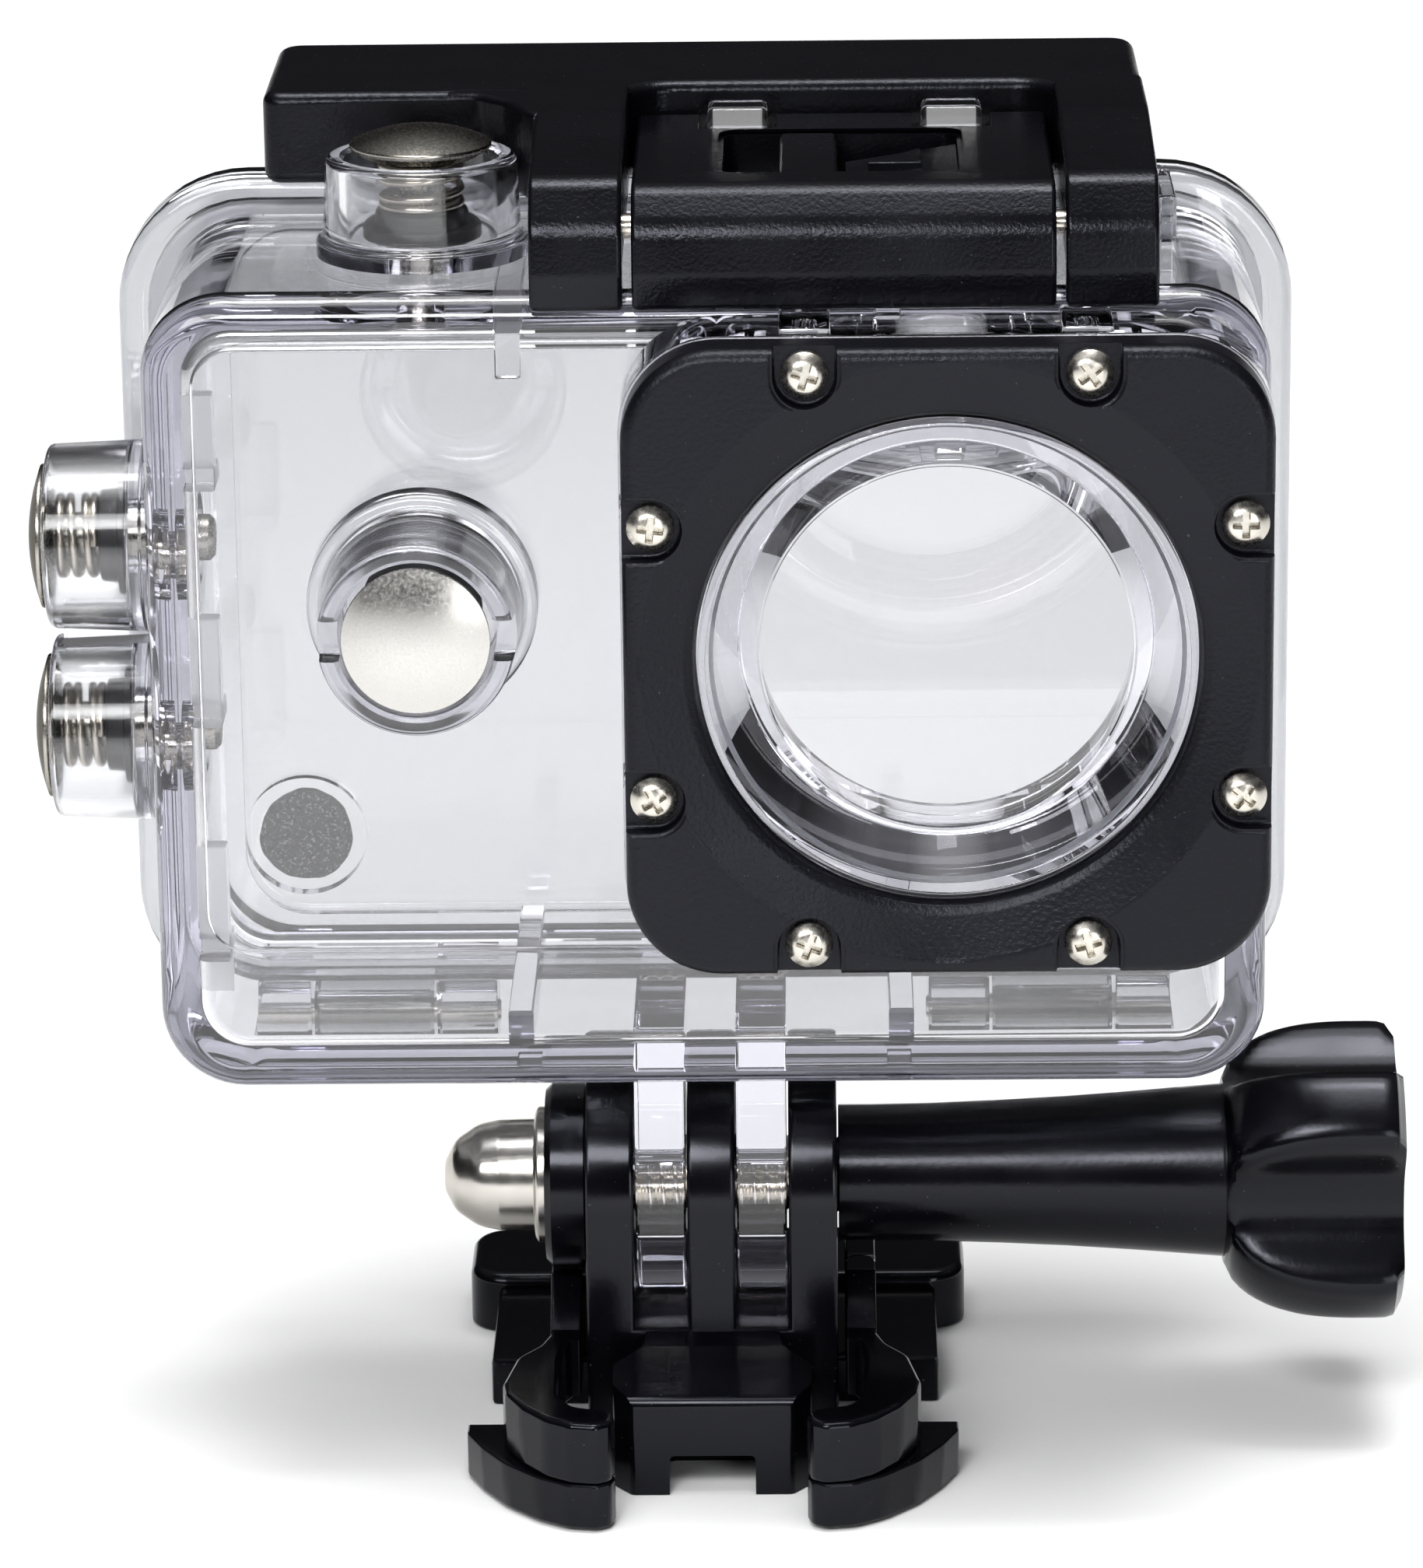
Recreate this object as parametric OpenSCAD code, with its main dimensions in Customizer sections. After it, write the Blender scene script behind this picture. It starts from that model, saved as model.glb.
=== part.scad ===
// Clear waterproof housing for a small action camera, latched shut,
// carried on a sliding quick-release buckle by a thumbscrew.
// X runs to the viewer's right, Y runs away from the lens side, Z is up.
// The origin is the centre of the buckle's underside, below the tilt axis.

/* [Housing box] */
// Outer width of the clear box
box_w = 65.8; // [64.6:0.2:67]
// Outer height of the clear box
box_h = 48.6; // [48.2:0.2:49]
// Depth of the box from its front face to the rear flange
box_d = 22.6; // [22.2:0.2:23.4]
// Corner radius of the box seen from the front
box_r = 5; // [4:0.5:6]
// Wall thickness of the clear plastic
wall = 2.3; // [2:0.1:2.4]
// Height of the box's underside above the bottom of the buckle
box_z = 25; // [24.6:0.2:26]
// How far the rear flange stands out beyond the box
flange_out = 2.2; // [1.6:0.2:2.6]
// Thickness of the rear flange
flange_t = 1.9; // [1.8:0.1:2.2]
// Thickness of the back door
door_t = 2; // [1.8:0.1:3]

/* [Lens] */
// Sideways place of the lens axis
lens_x = 14.2; // [13.8:0.1:14.4]
// Height of the lens axis
lens_z = 53.7; // [53.4:0.1:53.8]
// Side of the square bezel
bezel_w = 37.3; // [36.8:0.1:37.6]
// Thickness of the bezel
bezel_t = 3.3; // [3:0.1:3.6]
// How far the bezel's face stands in front of the box
lens_out = 9; // [8.8:0.1:9.6]
// Outer diameter of the visible lens-port ring
port_d = 28.8; // [28:0.1:29.4]
// Diameter of the flat window inside the port ring
window_d = 22; // [20:0.5:23]
// Depth of the funnel from the port's rim to its window
funnel = 2.9; // [2:0.1:3]
// Bore behind the window that clears the camera's lens
turret_d = 25; // [22:0.5:25]

/* [Buttons] */
// Diameter of the button stems
stem_d = 2.8; // [2.2:0.1:3]

/* [Tilt joint] */
// Height of the tilt axis
pivot_z = 15.5; // [15.2:0.1:16]
// Thickness of each clear finger
finger_t = 3.05; // [3:0.01:3.1]
// Bore through prongs and fingers
bolt_bore = 5; // [5:0.02:5.08]
// Diameter of the clamp bolt
bolt_d = 4.9; // [4.86:0.02:4.94]
// Radius of the black prongs
prong_r = 7.5; // [7.2:0.1:7.6]
// Radius of the clear fingers
finger_r = 7; // [6.6:0.05:7.1]
// Length of the thumbscrew's handle and knob beyond the right prong
handle_len = 34.3; // [30:0.1:36]

/* [Buckle] */
// Half the width of the rails
rail_half = 15.8; // [15.4:0.1:16.2]
// Rear edge of the rails
rail_y = 22; // [21:0.5:24]
// Thickness of the rear rails
rail_t = 3.9; // [3:0.1:4]

/* [Latch] */
// Height of the latch frame's top surface
latch_top = 81.9; // [81.6:0.1:82.4]
// Height of the lever's top surface
lever_top = 80.1; // [79.8:0.1:80.3]
// Width of the lever
lever_w = 24.4; // [24:0.1:24.6]
// Travel of the lock slider
lock_travel = 3; // [2:0.1:3]
// Diameter of the two latch pins
pin_d = 1.5; // [1.46:0.02:1.54]

/* [Hidden] */
$fn = 48;
box_x = 0.3;
x0 = box_x - box_w / 2;
x1 = box_x + box_w / 2;
front_y = -11.5;
flange_y = front_y + box_d;
mouth_y = flange_y + flange_t;
box_top = box_z + box_h;
flange_x = 35.8;
flange_z0 = box_z - flange_out;
flange_z1 = box_top + flange_out;
flange_r = 8;
cavity_y = front_y + 2.2;
lever_x = 8.4;
lever_x0 = lever_x - lever_w / 2;
lever_x1 = lever_x + lever_w / 2;
// centre of the lever's pivot pin and of the pin that carries the frame
p1 = [7, 78.4];
p2 = [-9.5, 77.2];
lug_x = [2.2, 14.95];
lug_w = 3.6;
lug_r = 2.8;
leg_w = 5.35;
leg_gap = 0.55;
// spans along X of the lock slider and of the tongue under it
slider_x = [4.7, 8.1];
tongue_x = [5.4, 7.4];
// span along Y of the slider's slot
slot_y = [-8.2, 3.4];
// running clearance of a pin or stem, on the diameter
run = 0.1;
// door hinge: axis, knuckle radius, knuckle spans along X for one side
hinge = [13.1, 20.4];
knuckle_r = 2.2;
hinge_pin_d = 1.6;
// prong spans along X
prong_x = 7.65;
slot_out = 4.7;
slot_in = 1.45;
boss_x = -10.2;
hub_d = 11.4;
// hexagon of the nut, across its corners, and of the pocket that holds it
nut_hex = 8.7;
nut_pocket = 8.9;
arm_axis = [9.05, 0.5];
// the arms hang clear of the surface under the buckle; their two layers and their roots
arm_low = 0.2;
arm_step = 3;
arm_mid = 6.9;
root_low = 3.2;
arm_top = 9.5;
// offsets of the bezel screws from the lens axis
screw_near = 8.1;
screw_far = 17;
screw_at = [for (a = [-screw_far, screw_far], b = [-screw_near, screw_near]) each [[a, b], [b, a]]];
bezel_y = front_y - lens_out;
bezel_back = bezel_y + bezel_t;
seat_y = bezel_back + 2.6;
port_y = bezel_y + 1.1;
// each button: centre on the outer wall, collar height, collar, flare, bore and
// cap diameters, floor, seal height, height of the cap's edge, dome and wall
SHUTTER = 0;
MODE = 1;
UPPER = 2;
LOWER = 3;
collar_h = [5.9, 9.2, 6.8, 6.8];
collar_d = [11.7, 11.8, 11.5, 11.5];
flare_d = [12.6, 13.5, 12, 12];
flare_h = [1, 1.8, 0.8, 0.8];
bore_d = [9.1, 9.2, 9.1, 9.1];
cap_d = [8.4, 8.6, 8.7, 8.7];
floor_h = [1, 1.7, 1.6, 1.6];
seal_h = [1.6, 2.4, 1.9, 1.9];
cap_top = [6.6, 9.1, 7.2, 7.2];
dome_h = [1, 0.6, 0.8, 0.8];
cap_t = 1;
tip_out = [0, 0, 0.9, 0.9];
skin = [wall, 2.2, wall, wall];
// heights of the two side buttons
side_z = [56.2, 44.35];
// spans along Z of the bracket ribs on the button side, and the ribs' thickness
bracket_z = [[61.7, 67.5], [47.3, 54], [32.8, 40]];
rib_t = 1.5;
bracket_t = 1.2;
// centre of the moisture pad
pad_at = [-23.6, 40.9];

// ---- helpers ----

// cylinder along X, Y or Z between two coordinates
module bar_x(d, a, b, y, z) translate([a, y, z]) rotate([0, 90, 0]) cylinder(d = d, h = b - a);
module bar_y(d, a, b, x, z) translate([x, a, z]) rotate([-90, 0, 0]) cylinder(d = d, h = b - a);

// box from one corner to the other
module block(lo, hi) translate(lo) cube(hi - lo);

// flat rounded rectangle from its edges
module rounded(a0, a1, b0, b1, r) {
    translate([a0 + r, b0]) square([a1 - a0 - 2 * r, b1 - b0]);
    translate([a0, b0 + r]) square([a1 - a0, b1 - b0 - 2 * r]);
    for (a = [a0 + r, a1 - r], b = [b0 + r, b1 - r]) translate([a, b]) circle(r);
}

// rounded rectangle in X and Z, thick along Y
module plate_y(a0, a1, b0, b1, r, y0, y1)
    translate([0, y1, 0]) rotate([90, 0, 0]) linear_extrude(y1 - y0) rounded(a0, a1, b0, b1, r);

// an outline drawn in Y and Z, extruded along X
module along_x(a, b) translate([a, 0, 0]) rotate([90, 0, 90]) linear_extrude(b - a) children();

// both sides of the X axis
module both_sides() {
    children();
    mirror([1, 0, 0]) children();
}

// local frame of a button: Z outwards, zero on the outer wall
module at_button(b) {
    if (b == SHUTTER) translate([-16.5, 0.5, box_top]) children();
    if (b == MODE) translate([-16.3, front_y, 55.5]) rotate([90, 0, 0]) children();
    if (b == UPPER) translate([x0, 1, side_z[0]]) rotate([0, -90, 0]) children();
    if (b == LOWER) translate([x0, 1, side_z[1]]) rotate([0, -90, 0]) children();
}

// ---- buckle ----

// outline of one prong in Y and Z
module prong_outline() {
    translate([0, pivot_z]) circle(prong_r);
    polygon([[-prong_r, pivot_z], [-prong_r, 3], [prong_r + 1.5, 3], [prong_r, pivot_z]]);
}

module buckle_base() color([0.07, 0.07, 0.08]) difference() {
    union() {
        // rail plate with the wider rails at the rear
        block([1.9 - rail_half, 0.7, 0], [rail_half - 1.9, 14, 3]);
        linear_extrude(rail_t) rounded(-rail_half, rail_half, 13, rail_y, 2.5);
        // foot under the prongs, and the three prongs
        block([-prong_x, -prong_r, 0], [prong_x, prong_r + 1.5, 8.2]);
        along_x(-prong_x, -slot_out) prong_outline();
        along_x(-slot_in, slot_in) prong_outline();
        along_x(slot_out, prong_x) prong_outline();
        bar_x(hub_d, boss_x, -prong_x, 0, pivot_z);
        // nose block in front of the prongs, sloping down to its front face
        along_x(-6, 6) polygon([[-14, 0], [-14, 5.6], [-13.2, 6.4], [-8, 8.2], [-7, 8.2], [-7, 0]]);
        // roots that carry the squeeze arms
        both_sides() block([8.1, 1.6, 2.5], [10, 8.5, arm_top]);
    }
    // bore for the clamp bolt, and the pocket that keeps the nut from turning
    bar_x(bolt_bore, boss_x - 1, prong_x + 1, 0, pivot_z);
    translate([boss_x - 1, 0, pivot_z]) rotate([0, 90, 0]) cylinder(d = nut_pocket, h = 3.3, $fn = 6);
    // channel under the nose, and the lightening pocket under the rear rails
    block([-2.6, -15, -1], [2.6, -8.6, 2.5]);
    block([-10.5, 11, -1], [10.5, 19.5, 1.6]);
}

module cap_nut() color([0.8, 0.8, 0.82]) difference() {
    union() {
        translate([boss_x, 0, pivot_z]) rotate([0, 90, 0]) cylinder(d = nut_hex, h = 2.2, $fn = 6);
        bar_x(8.5, boss_x - 0.7, boss_x, 0, pivot_z);
        bar_x(6.8, boss_x - 2.9, boss_x - 0.7, 0, pivot_z);
        translate([boss_x - 2.9, 0, pivot_z]) sphere(3.4);
    }
    bar_x(bolt_bore, boss_x - 2.7, boss_x + 3, 0, pivot_z);
}

// lower rail layer of a crescent tip, seen from above
module crescent_low() polygon([
    [14.9, -9.8], [14.9, -11.2], [13.9, -13.6], [12.4, -16.2], [10.4, -18.4], [8.6, -19.6],
    [6.8, -19.9], [6, -19.4], [5.7, -18.4], [6, -17.4], [8.4, -16.9], [9.4, -15.6],
    [9.6, -9.8]]);

// upper layer of a crescent tip with the arm that leads to it
module crescent_high() polygon([
    [12.6, -12.8], [12.4, -14.4], [11.4, -16.6], [9.9, -18.6], [8.4, -19.6], [6.8, -19.9],
    [6, -19.4], [5.7, -18.4], [6, -17.4], [8.2, -16.6], [9.1, -15], [9.2, -9], [9, -6.8],
    [8.1, -4.5], [10, -4.5], [10.6, -6.6], [11.9, -8.6]]);

// the right squeeze arm, about an upright axis at its root
module arm() {
    translate([0, 0, arm_low]) linear_extrude(arm_step - arm_low) crescent_low();
    translate([0, 0, arm_step - 0.1]) linear_extrude(arm_mid - arm_step + 0.1) crescent_high();
    intersection() {
        block([8.1, -6, root_low], [10, arm_axis[1], arm_top]);
        along_x(8, 11) polygon([[-6, root_low], [-6, arm_mid], [-4.4, arm_mid],
            [-1.2, arm_top], [4, arm_top], [4, root_low]]);
    }
    translate([arm_axis[0], arm_axis[1], root_low]) cylinder(r = 0.95, h = arm_top - root_low);
}

module right_arm() color([0.09, 0.09, 0.1]) arm();
module left_arm() color([0.09, 0.09, 0.1]) mirror([1, 0, 0]) arm();

// ---- thumbscrew ----

// outline of four rounded lobes around the axis, each reaching to radius r
module lobes(r, lobe_r) {
    circle(5.2);
    for (a = [43, 133, 223, 313]) rotate(a) {
        translate([r - lobe_r, 0]) circle(lobe_r);
        polygon([[0, -4.2], [r - lobe_r, -lobe_r + 0.05], [r - lobe_r, lobe_r - 0.05], [0, 4.2]]);
    }
}

module thumbscrew_handle() color([0.06, 0.06, 0.07]) difference() {
    translate([prong_x + 0.1, 0, pivot_z]) rotate([0, 90, 0]) {
        rotate_extrude() polygon([[0, 0], [4.2, 0], [4.2, 1.5], [4.25, 6], [4.6, 14],
            [5, 20], [5.3, 24.2], [5.3, 27], [0, 27]]);
        // lobed knob that swells out of the stalk
        intersection() {
            translate([0, 0, 23.6]) linear_extrude(handle_len - 23.6) lobes(9.6, 2.5);
            translate([0, 0, handle_len]) rotate_extrude() polygon([[0, -11], [5.4, -10.7],
                [6.7, -9.5], [7.7, -8], [8.6, -6], [9.2, -4.2], [9.5, -2.8], [9.6, -1.8],
                [9.6, -0.9], [8.7, 0], [0, 0]]);
        }
    }
    bar_x(bolt_d, prong_x - 1, prong_x + 16, 0, pivot_z);
}

module clamp_bolt() color([0.75, 0.75, 0.77])
    bar_x(bolt_d, boss_x - 2.4, prong_x + 16, 0, pivot_z);

// ---- clear front shell ----

module collar(b) {
    cylinder(d = collar_d[b], h = collar_h[b]);
    translate([0, 0, -1]) cylinder(d = flare_d[b], h = flare_h[b] + 1);
}

// bore, stem hole and clip recess of a button
module collar_cut(b) {
    translate([0, 0, floor_h[b]]) cylinder(d = bore_d[b], h = 20);
    translate([0, 0, -skin[b] - 1]) cylinder(d = stem_d + run, h = 20);
    translate([0, 0, -skin[b] - 1]) cylinder(d = 5.6, h = 2);
}

// one clear finger outline in Y and Z
module finger_outline() {
    translate([0, pivot_z]) circle(finger_r);
    translate([-finger_r, pivot_z]) square([2 * finger_r, box_z + 0.5 - pivot_z]);
}

// spans along X of the shell's hinge knuckles, and of the door's between them
shell_knuckles = [[13.5, 17.3], [25.2, 29]];
door_knuckle = [17.5, 25];

module shell_solid() {
    plate_y(x0, x1, box_z, box_top, box_r, front_y, flange_y + 0.5);
    plate_y(-flange_x, flange_x, flange_z0, flange_z1, flange_r, flange_y, mouth_y);
    plate_y(lens_x - bezel_w / 2 - 0.2, lens_x + bezel_w / 2 + 0.2, lens_z - bezel_w / 2 - 0.2,
        lens_z + bezel_w / 2, 5.7, bezel_back, front_y + 1);
    // bumps over the two upper screw holes
    for (s = [-screw_near, screw_near]) block([lens_x + s - 1.5, -16.6, lens_z + 18],
        [lens_x + s + 1.5, front_y + 0.5, lens_z + 19.05]);
    for (b = [SHUTTER, MODE, UPPER, LOWER]) at_button(b) collar(b);
    // web that ties the two side collars together
    block([x0 - 6, -0.6, side_z[1]], [x0 + 0.5, 2.6, side_z[0]]);
    // fingers on the tilt axis
    for (s = [-1, 1]) translate([s * 3.075, 0, 0])
        along_x(-finger_t / 2, finger_t / 2) finger_outline();
    // lugs that carry the latch lever
    for (x = lug_x) along_x(x - lug_w / 2, x + lug_w / 2) {
        intersection() {
            translate(p1) circle(lug_r);
            translate([p1[0] - lug_r, p1[1] - lug_r]) square([lug_r + 1.9, 2 * lug_r]);
        }
        translate([p1[0] - 1.9, box_top - 0.5]) square([3.8, p1[1] - box_top + 0.5]);
    }
    // guard rib beside the right leg of the latch frame
    block([27.1, 1, box_top - 0.5], [28.2, 9, 76.4]);
    // knuckles of the door hinge
    both_sides() for (k = shell_knuckles) {
        bar_x(2 * knuckle_r, k[0], k[1], hinge[0], hinge[1]);
        block([k[0], flange_y, hinge[1]], [k[1], mouth_y, flange_z0 + 0.2]);
    }
}

module shell_hollow() {
    // camera space, with a shallow pocket in the front wall
    plate_y(x0 + wall, x1 - wall, box_z + wall, box_top - wall, 3, cavity_y, mouth_y + 1);
    plate_y(x0 + wall + 0.6, x1 - wall - 0.6, 33.4, box_top - wall - 0.9, 2.5,
        cavity_y - 0.5, cavity_y + 0.5);
    // lens turret space, port seat and screw holes
    bar_y(turret_d, seat_y - 1, cavity_y + 1, lens_x, lens_z);
    bar_y(33.2, bezel_back - 1, seat_y, lens_x, lens_z);
    for (s = screw_at) bar_y(1.4, bezel_back - 1, bezel_back + 4, lens_x + s[0], lens_z + s[1]);
    for (b = [SHUTTER, MODE, UPPER, LOWER]) at_button(b) collar_cut(b);
    // two notches in the wall of the front collar
    at_button(MODE) translate([0, 0, collar_h[MODE] - 1.9]) for (s = [-1, 1])
        translate([s * 5.4, 0, 2]) cube([4, 2.4, 4], center = true);
    bar_x(bolt_bore, -6, 6, 0, pivot_z);
    bar_x(pin_d, -5, 22, p1[0], p1[1]);
    both_sides() bar_x(hinge_pin_d, 13, 29.5, hinge[0], hinge[1]);
    // groove for the door gasket
    difference() {
        plate_y(-34.4, 34.4, 24.2, 74.4, 6.8, mouth_y - 1.2, mouth_y + 1);
        plate_y(-32, 32, 26.6, 72, 4.4, mouth_y - 2, mouth_y + 2);
    }
    // round pocket for the foam disc, on the inside of the front wall
    bar_y(7.2, front_y + 0.7, cavity_y + 1, pad_at[0], pad_at[1]);
}

// guide ribs inside the shell that hold the camera
module shell_ribs() {
    // bottom rests
    for (x = [-11.9, 10.8])
        block([x, cavity_y - 0.2, box_z + wall - 0.2], [x + rib_t, flange_y, 29.6]);
    // top guides that turn down over the front wall
    for (x = [-11.9, 10.2]) {
        block([x, cavity_y - 0.2, box_top - wall - 0.3], [x + rib_t, flange_y, box_top - wall + 0.2]);
        block([x, cavity_y - 0.9, 68.4], [x + rib_t, cavity_y + 0.4, box_top - wall + 0.2]);
    }
    // bracket ribs down the button side
    for (z = bracket_z) {
        block([x0 + wall - 0.2, cavity_y - 0.2, z[0]],
            [x0 + wall + 1.9, cavity_y + bracket_t, z[1]]);
        block([x0 + wall - 0.2, cavity_y - 0.2, z[0]],
            [x0 + wall + 1.9, cavity_y + 3.4, z[0] + bracket_t]);
    }
}

module front_shell() color([0.86, 0.9, 0.95, 0.4]) union() {
    difference() {
        shell_solid();
        shell_hollow();
    }
    shell_ribs();
}

// ---- lens group ----

module lens_bezel() color([0.06, 0.06, 0.07]) difference() {
    plate_y(lens_x - bezel_w / 2, lens_x + bezel_w / 2, lens_z - bezel_w / 2,
        lens_z + bezel_w / 2, 5.5, bezel_y, bezel_back);
    bar_y(port_d + 0.2, bezel_y - 1, bezel_back + 1, lens_x, lens_z);
    // shallow dish around the port
    translate([lens_x, bezel_y, lens_z]) rotate([90, 0, 0]) rotate_extrude()
        polygon([[0, 1], [19, 1], [19, 0], [14.3, -1], [0, -1]]);
    // screw pockets that open to the nearest edge, and screw holes
    for (s = screw_at) {
        out = abs(s[0]) > abs(s[1]) ? [sign(s[0]) * 2, 0] : [0, sign(s[1]) * 2];
        bar_y(3.7, bezel_y - 1, bezel_y + 1.3, lens_x + s[0], lens_z + s[1]);
        translate([lens_x + s[0] + out[0], bezel_y, lens_z + s[1] + out[1]])
            cube([out[0] == 0 ? 3.7 : 4, 2.6, out[1] == 0 ? 3.7 : 4], center = true);
        bar_y(1.4, bezel_y - 1, bezel_back + 1, lens_x + s[0], lens_z + s[1]);
    }
}

module lens_port() color([0.9, 0.93, 0.97, 0.5])
    translate([lens_x, port_y, lens_z]) rotate([90, 0, 0]) rotate_extrude(convexity = 4)
        polygon([[0, -funnel], [window_d / 2, -funnel], [port_d / 2 - 0.3, 0], [port_d / 2, -0.3],
            [port_d / 2, port_y - bezel_back - 0.05], [16.4, port_y - bezel_back - 0.05],
            [16.4, port_y - seat_y + 0.8], [0, port_y - seat_y + 0.8]]);

module lens_gasket() color([0.8, 0.82, 0.84])
    translate([lens_x, seat_y, lens_z]) rotate([90, 0, 0]) rotate_extrude()
        translate([13.2, 0]) square([2.9, 0.8]);

module bezel_screws() color([0.78, 0.78, 0.8]) for (s = screw_at)
    translate([lens_x + s[0], bezel_y + 1.3, lens_z + s[1]]) rotate([90, 0, 0]) difference() {
        union() {
            rotate_extrude() polygon([[0, 0], [1.38, 0], [1.38, 0.5], [1.1, 0.8], [0.6, 0.95], [0, 1]]);
            translate([0, 0, -5.6]) cylinder(d = 1.4, h = 5.8);
        }
        for (a = [20, 110]) rotate(a) translate([0, 0, 0.9]) cube([1.6, 0.34, 1], center = true);
    }

module foam_disc() color([0.2, 0.2, 0.21]) 
    bar_y(5.6, front_y + 0.7, cavity_y - 0.6, pad_at[0], pad_at[1]);

// ---- door ----

module door_hinge_pins() color([0.8, 0.8, 0.82])
    both_sides() bar_x(hinge_pin_d, 13.3, 29.2, hinge[0], hinge[1]);

module back_door() color([0.84, 0.88, 0.94, 0.4]) difference() {
    union() {
        plate_y(-flange_x, flange_x, flange_z0, flange_z1, flange_r, mouth_y + 0.2,
            mouth_y + 0.2 + door_t);
        // raised centre panel
        plate_y(x0 + 1.6, x1 - 1.6, box_z + 1.6, box_top - 1.6, 5, mouth_y + 1, mouth_y + 3.6);
        // catch that the latch frame closes over
        block([-22, mouth_y + 1, 71.8], [22, mouth_y + 6.4, flange_z1 - 0.2]);
        both_sides() {
            bar_x(2 * knuckle_r, door_knuckle[0], door_knuckle[1], hinge[0], hinge[1]);
            block([door_knuckle[0], mouth_y + 0.2, hinge[1]],
                [door_knuckle[1], mouth_y + 0.2 + door_t, flange_z0 + 0.2]);
        }
    }
    both_sides() bar_x(hinge_pin_d + run, 13, 29.5, hinge[0], hinge[1]);
    // seat of the gasket
    difference() {
        plate_y(-34.1, 34.1, 24.5, 74.1, 6.5, mouth_y - 1, mouth_y + 1);
        plate_y(-32.3, 32.3, 26.3, 72.3, 4.7, mouth_y - 2, mouth_y + 2);
    }
    // window pocket behind the camera's screen
    plate_y(x0 + 3.4, x1 - 3.4, box_z + 3.4, box_top - 3.4, 4, mouth_y - 1, mouth_y + 1.6);
}

module door_gasket() color([0.8, 0.82, 0.84]) difference() {
    plate_y(-34.1, 34.1, 24.5, 74.1, 6.5, mouth_y - 0.9, mouth_y + 1);
    plate_y(-32.3, 32.3, 26.3, 72.3, 4.7, mouth_y - 2, mouth_y + 2);
}

// ---- latch ----

module latch_pivot_pin() color([0.8, 0.8, 0.82])
    bar_x(pin_d, lever_x0 + 1.2, lever_x1 - 1.2, p1[0], p1[1]);

module frame_pin() color([0.8, 0.8, 0.82])
    bar_x(pin_d, lever_x0 - 4.5, lever_x1 + 4.5, p2[0], p2[1]);

// outline of the lever's outer skin in Y and Z
module lever_outline() polygon([
    [8.2, lever_top], [-11.2, lever_top], [-12.4, lever_top - 0.5], [-13.2, lever_top - 1.5],
    [-13.6, 77], [-13.7, 75], [-13.4, 73.3], [-13, 73], [-12, 73], [-12, 75.4], [8.7, 76.8],
    [8.7, 79.6]]);

module latch_lever() color([0.05, 0.05, 0.06]) difference() {
    union() {
        difference() {
            along_x(lever_x0, lever_x1) lever_outline();
            // hollow underside between the side walls, pins' barrels left standing
            block([lever_x0 + 1.4, -7.2, 73], [lever_x1 - 1.4, 5, 78.4]);
        }
        // tray that holds the lock slider
        block([0.3, -7.3, 76.2], [16, 4.6, 78.5]);
    }
    // slot of the lock slider, the sloping recess beside it, and the opening for its tongue
    block([slider_x[0] - lock_travel - 0.3, slot_y[0], 77],
        [slider_x[1] + 0.3, slot_y[1], lever_top + 1]);
    translate([0, slot_y[1], 0]) rotate([90, 0, 0]) linear_extrude(slot_y[1] - slot_y[0])
        polygon([[slider_x[1], 78.5], [15.2, 79.5], [15.2, lever_top + 1],
            [slider_x[1], lever_top + 1]]);
    block([tongue_x[0] - lock_travel - 0.3, -3.1, 75], [tongue_x[1] + 0.2, -0.9, 78]);
    // notches around the lugs
    for (x = lug_x) block([x - lug_w / 2 - 0.5, p1[0] - lug_r - 0.1, 72],
        [x + lug_w / 2 + 0.5, 12, 84]);
    bar_x(pin_d + run, lever_x0 + 1, lever_x1 - 1, p1[0], p1[1]);
    bar_x(pin_d + run, lever_x0 - 1, lever_x1 + 1, p2[0], p2[1]);
}

module lock_slider() color([0.07, 0.07, 0.08]) {
    block([slider_x[0], slot_y[0] + 0.2, 77.1], [slider_x[1], slot_y[1] - 0.2, lever_top - 0.1]);
    block([tongue_x[0], -2.9, 75.2], [tongue_x[1], -1.1, 77.2]);
}

// outline of one leg of the frame in Y and Z
module leg_outline() polygon([
    [10, latch_top], [2, latch_top], [-11, lever_top + 0.3], [-12.4, lever_top - 0.5],
    [-13.2, lever_top - 1.5], [-13.6, 77], [-13.7, 75], [-13.4, 73], [-12, 73],
    [-11.9, 75.3], [10, 76.3]]);

module latch_frame() color([0.05, 0.05, 0.06]) difference() {
    union() {
        // cross bar, set back behind the lever
        difference() {
            along_x(-26.3, lever_x1 + leg_gap + leg_w) polygon([
                [7.6, latch_top], [6.8, latch_top - 0.8], [6.8, 76.3], [22.5, 76.3],
                [22.5, latch_top - 1], [21.5, latch_top]]);
            block([lever_x0 - leg_gap, 5, 75], [lever_x1 + leg_gap, 9.4, 84]);
            // hollow underside over the door's catch
            block([-24.4, 10.8, 75], [24.4, 20.4, 80]);
        }
        along_x(lever_x0 - leg_gap - leg_w, lever_x0 - leg_gap) leg_outline();
        along_x(lever_x1 + leg_gap, lever_x1 + leg_gap + leg_w) leg_outline();
    }
    bar_x(pin_d, lever_x0 - 4.5, lever_x1 + 4.5, p2[0], p2[1]);
}

// ---- buttons ----

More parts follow.
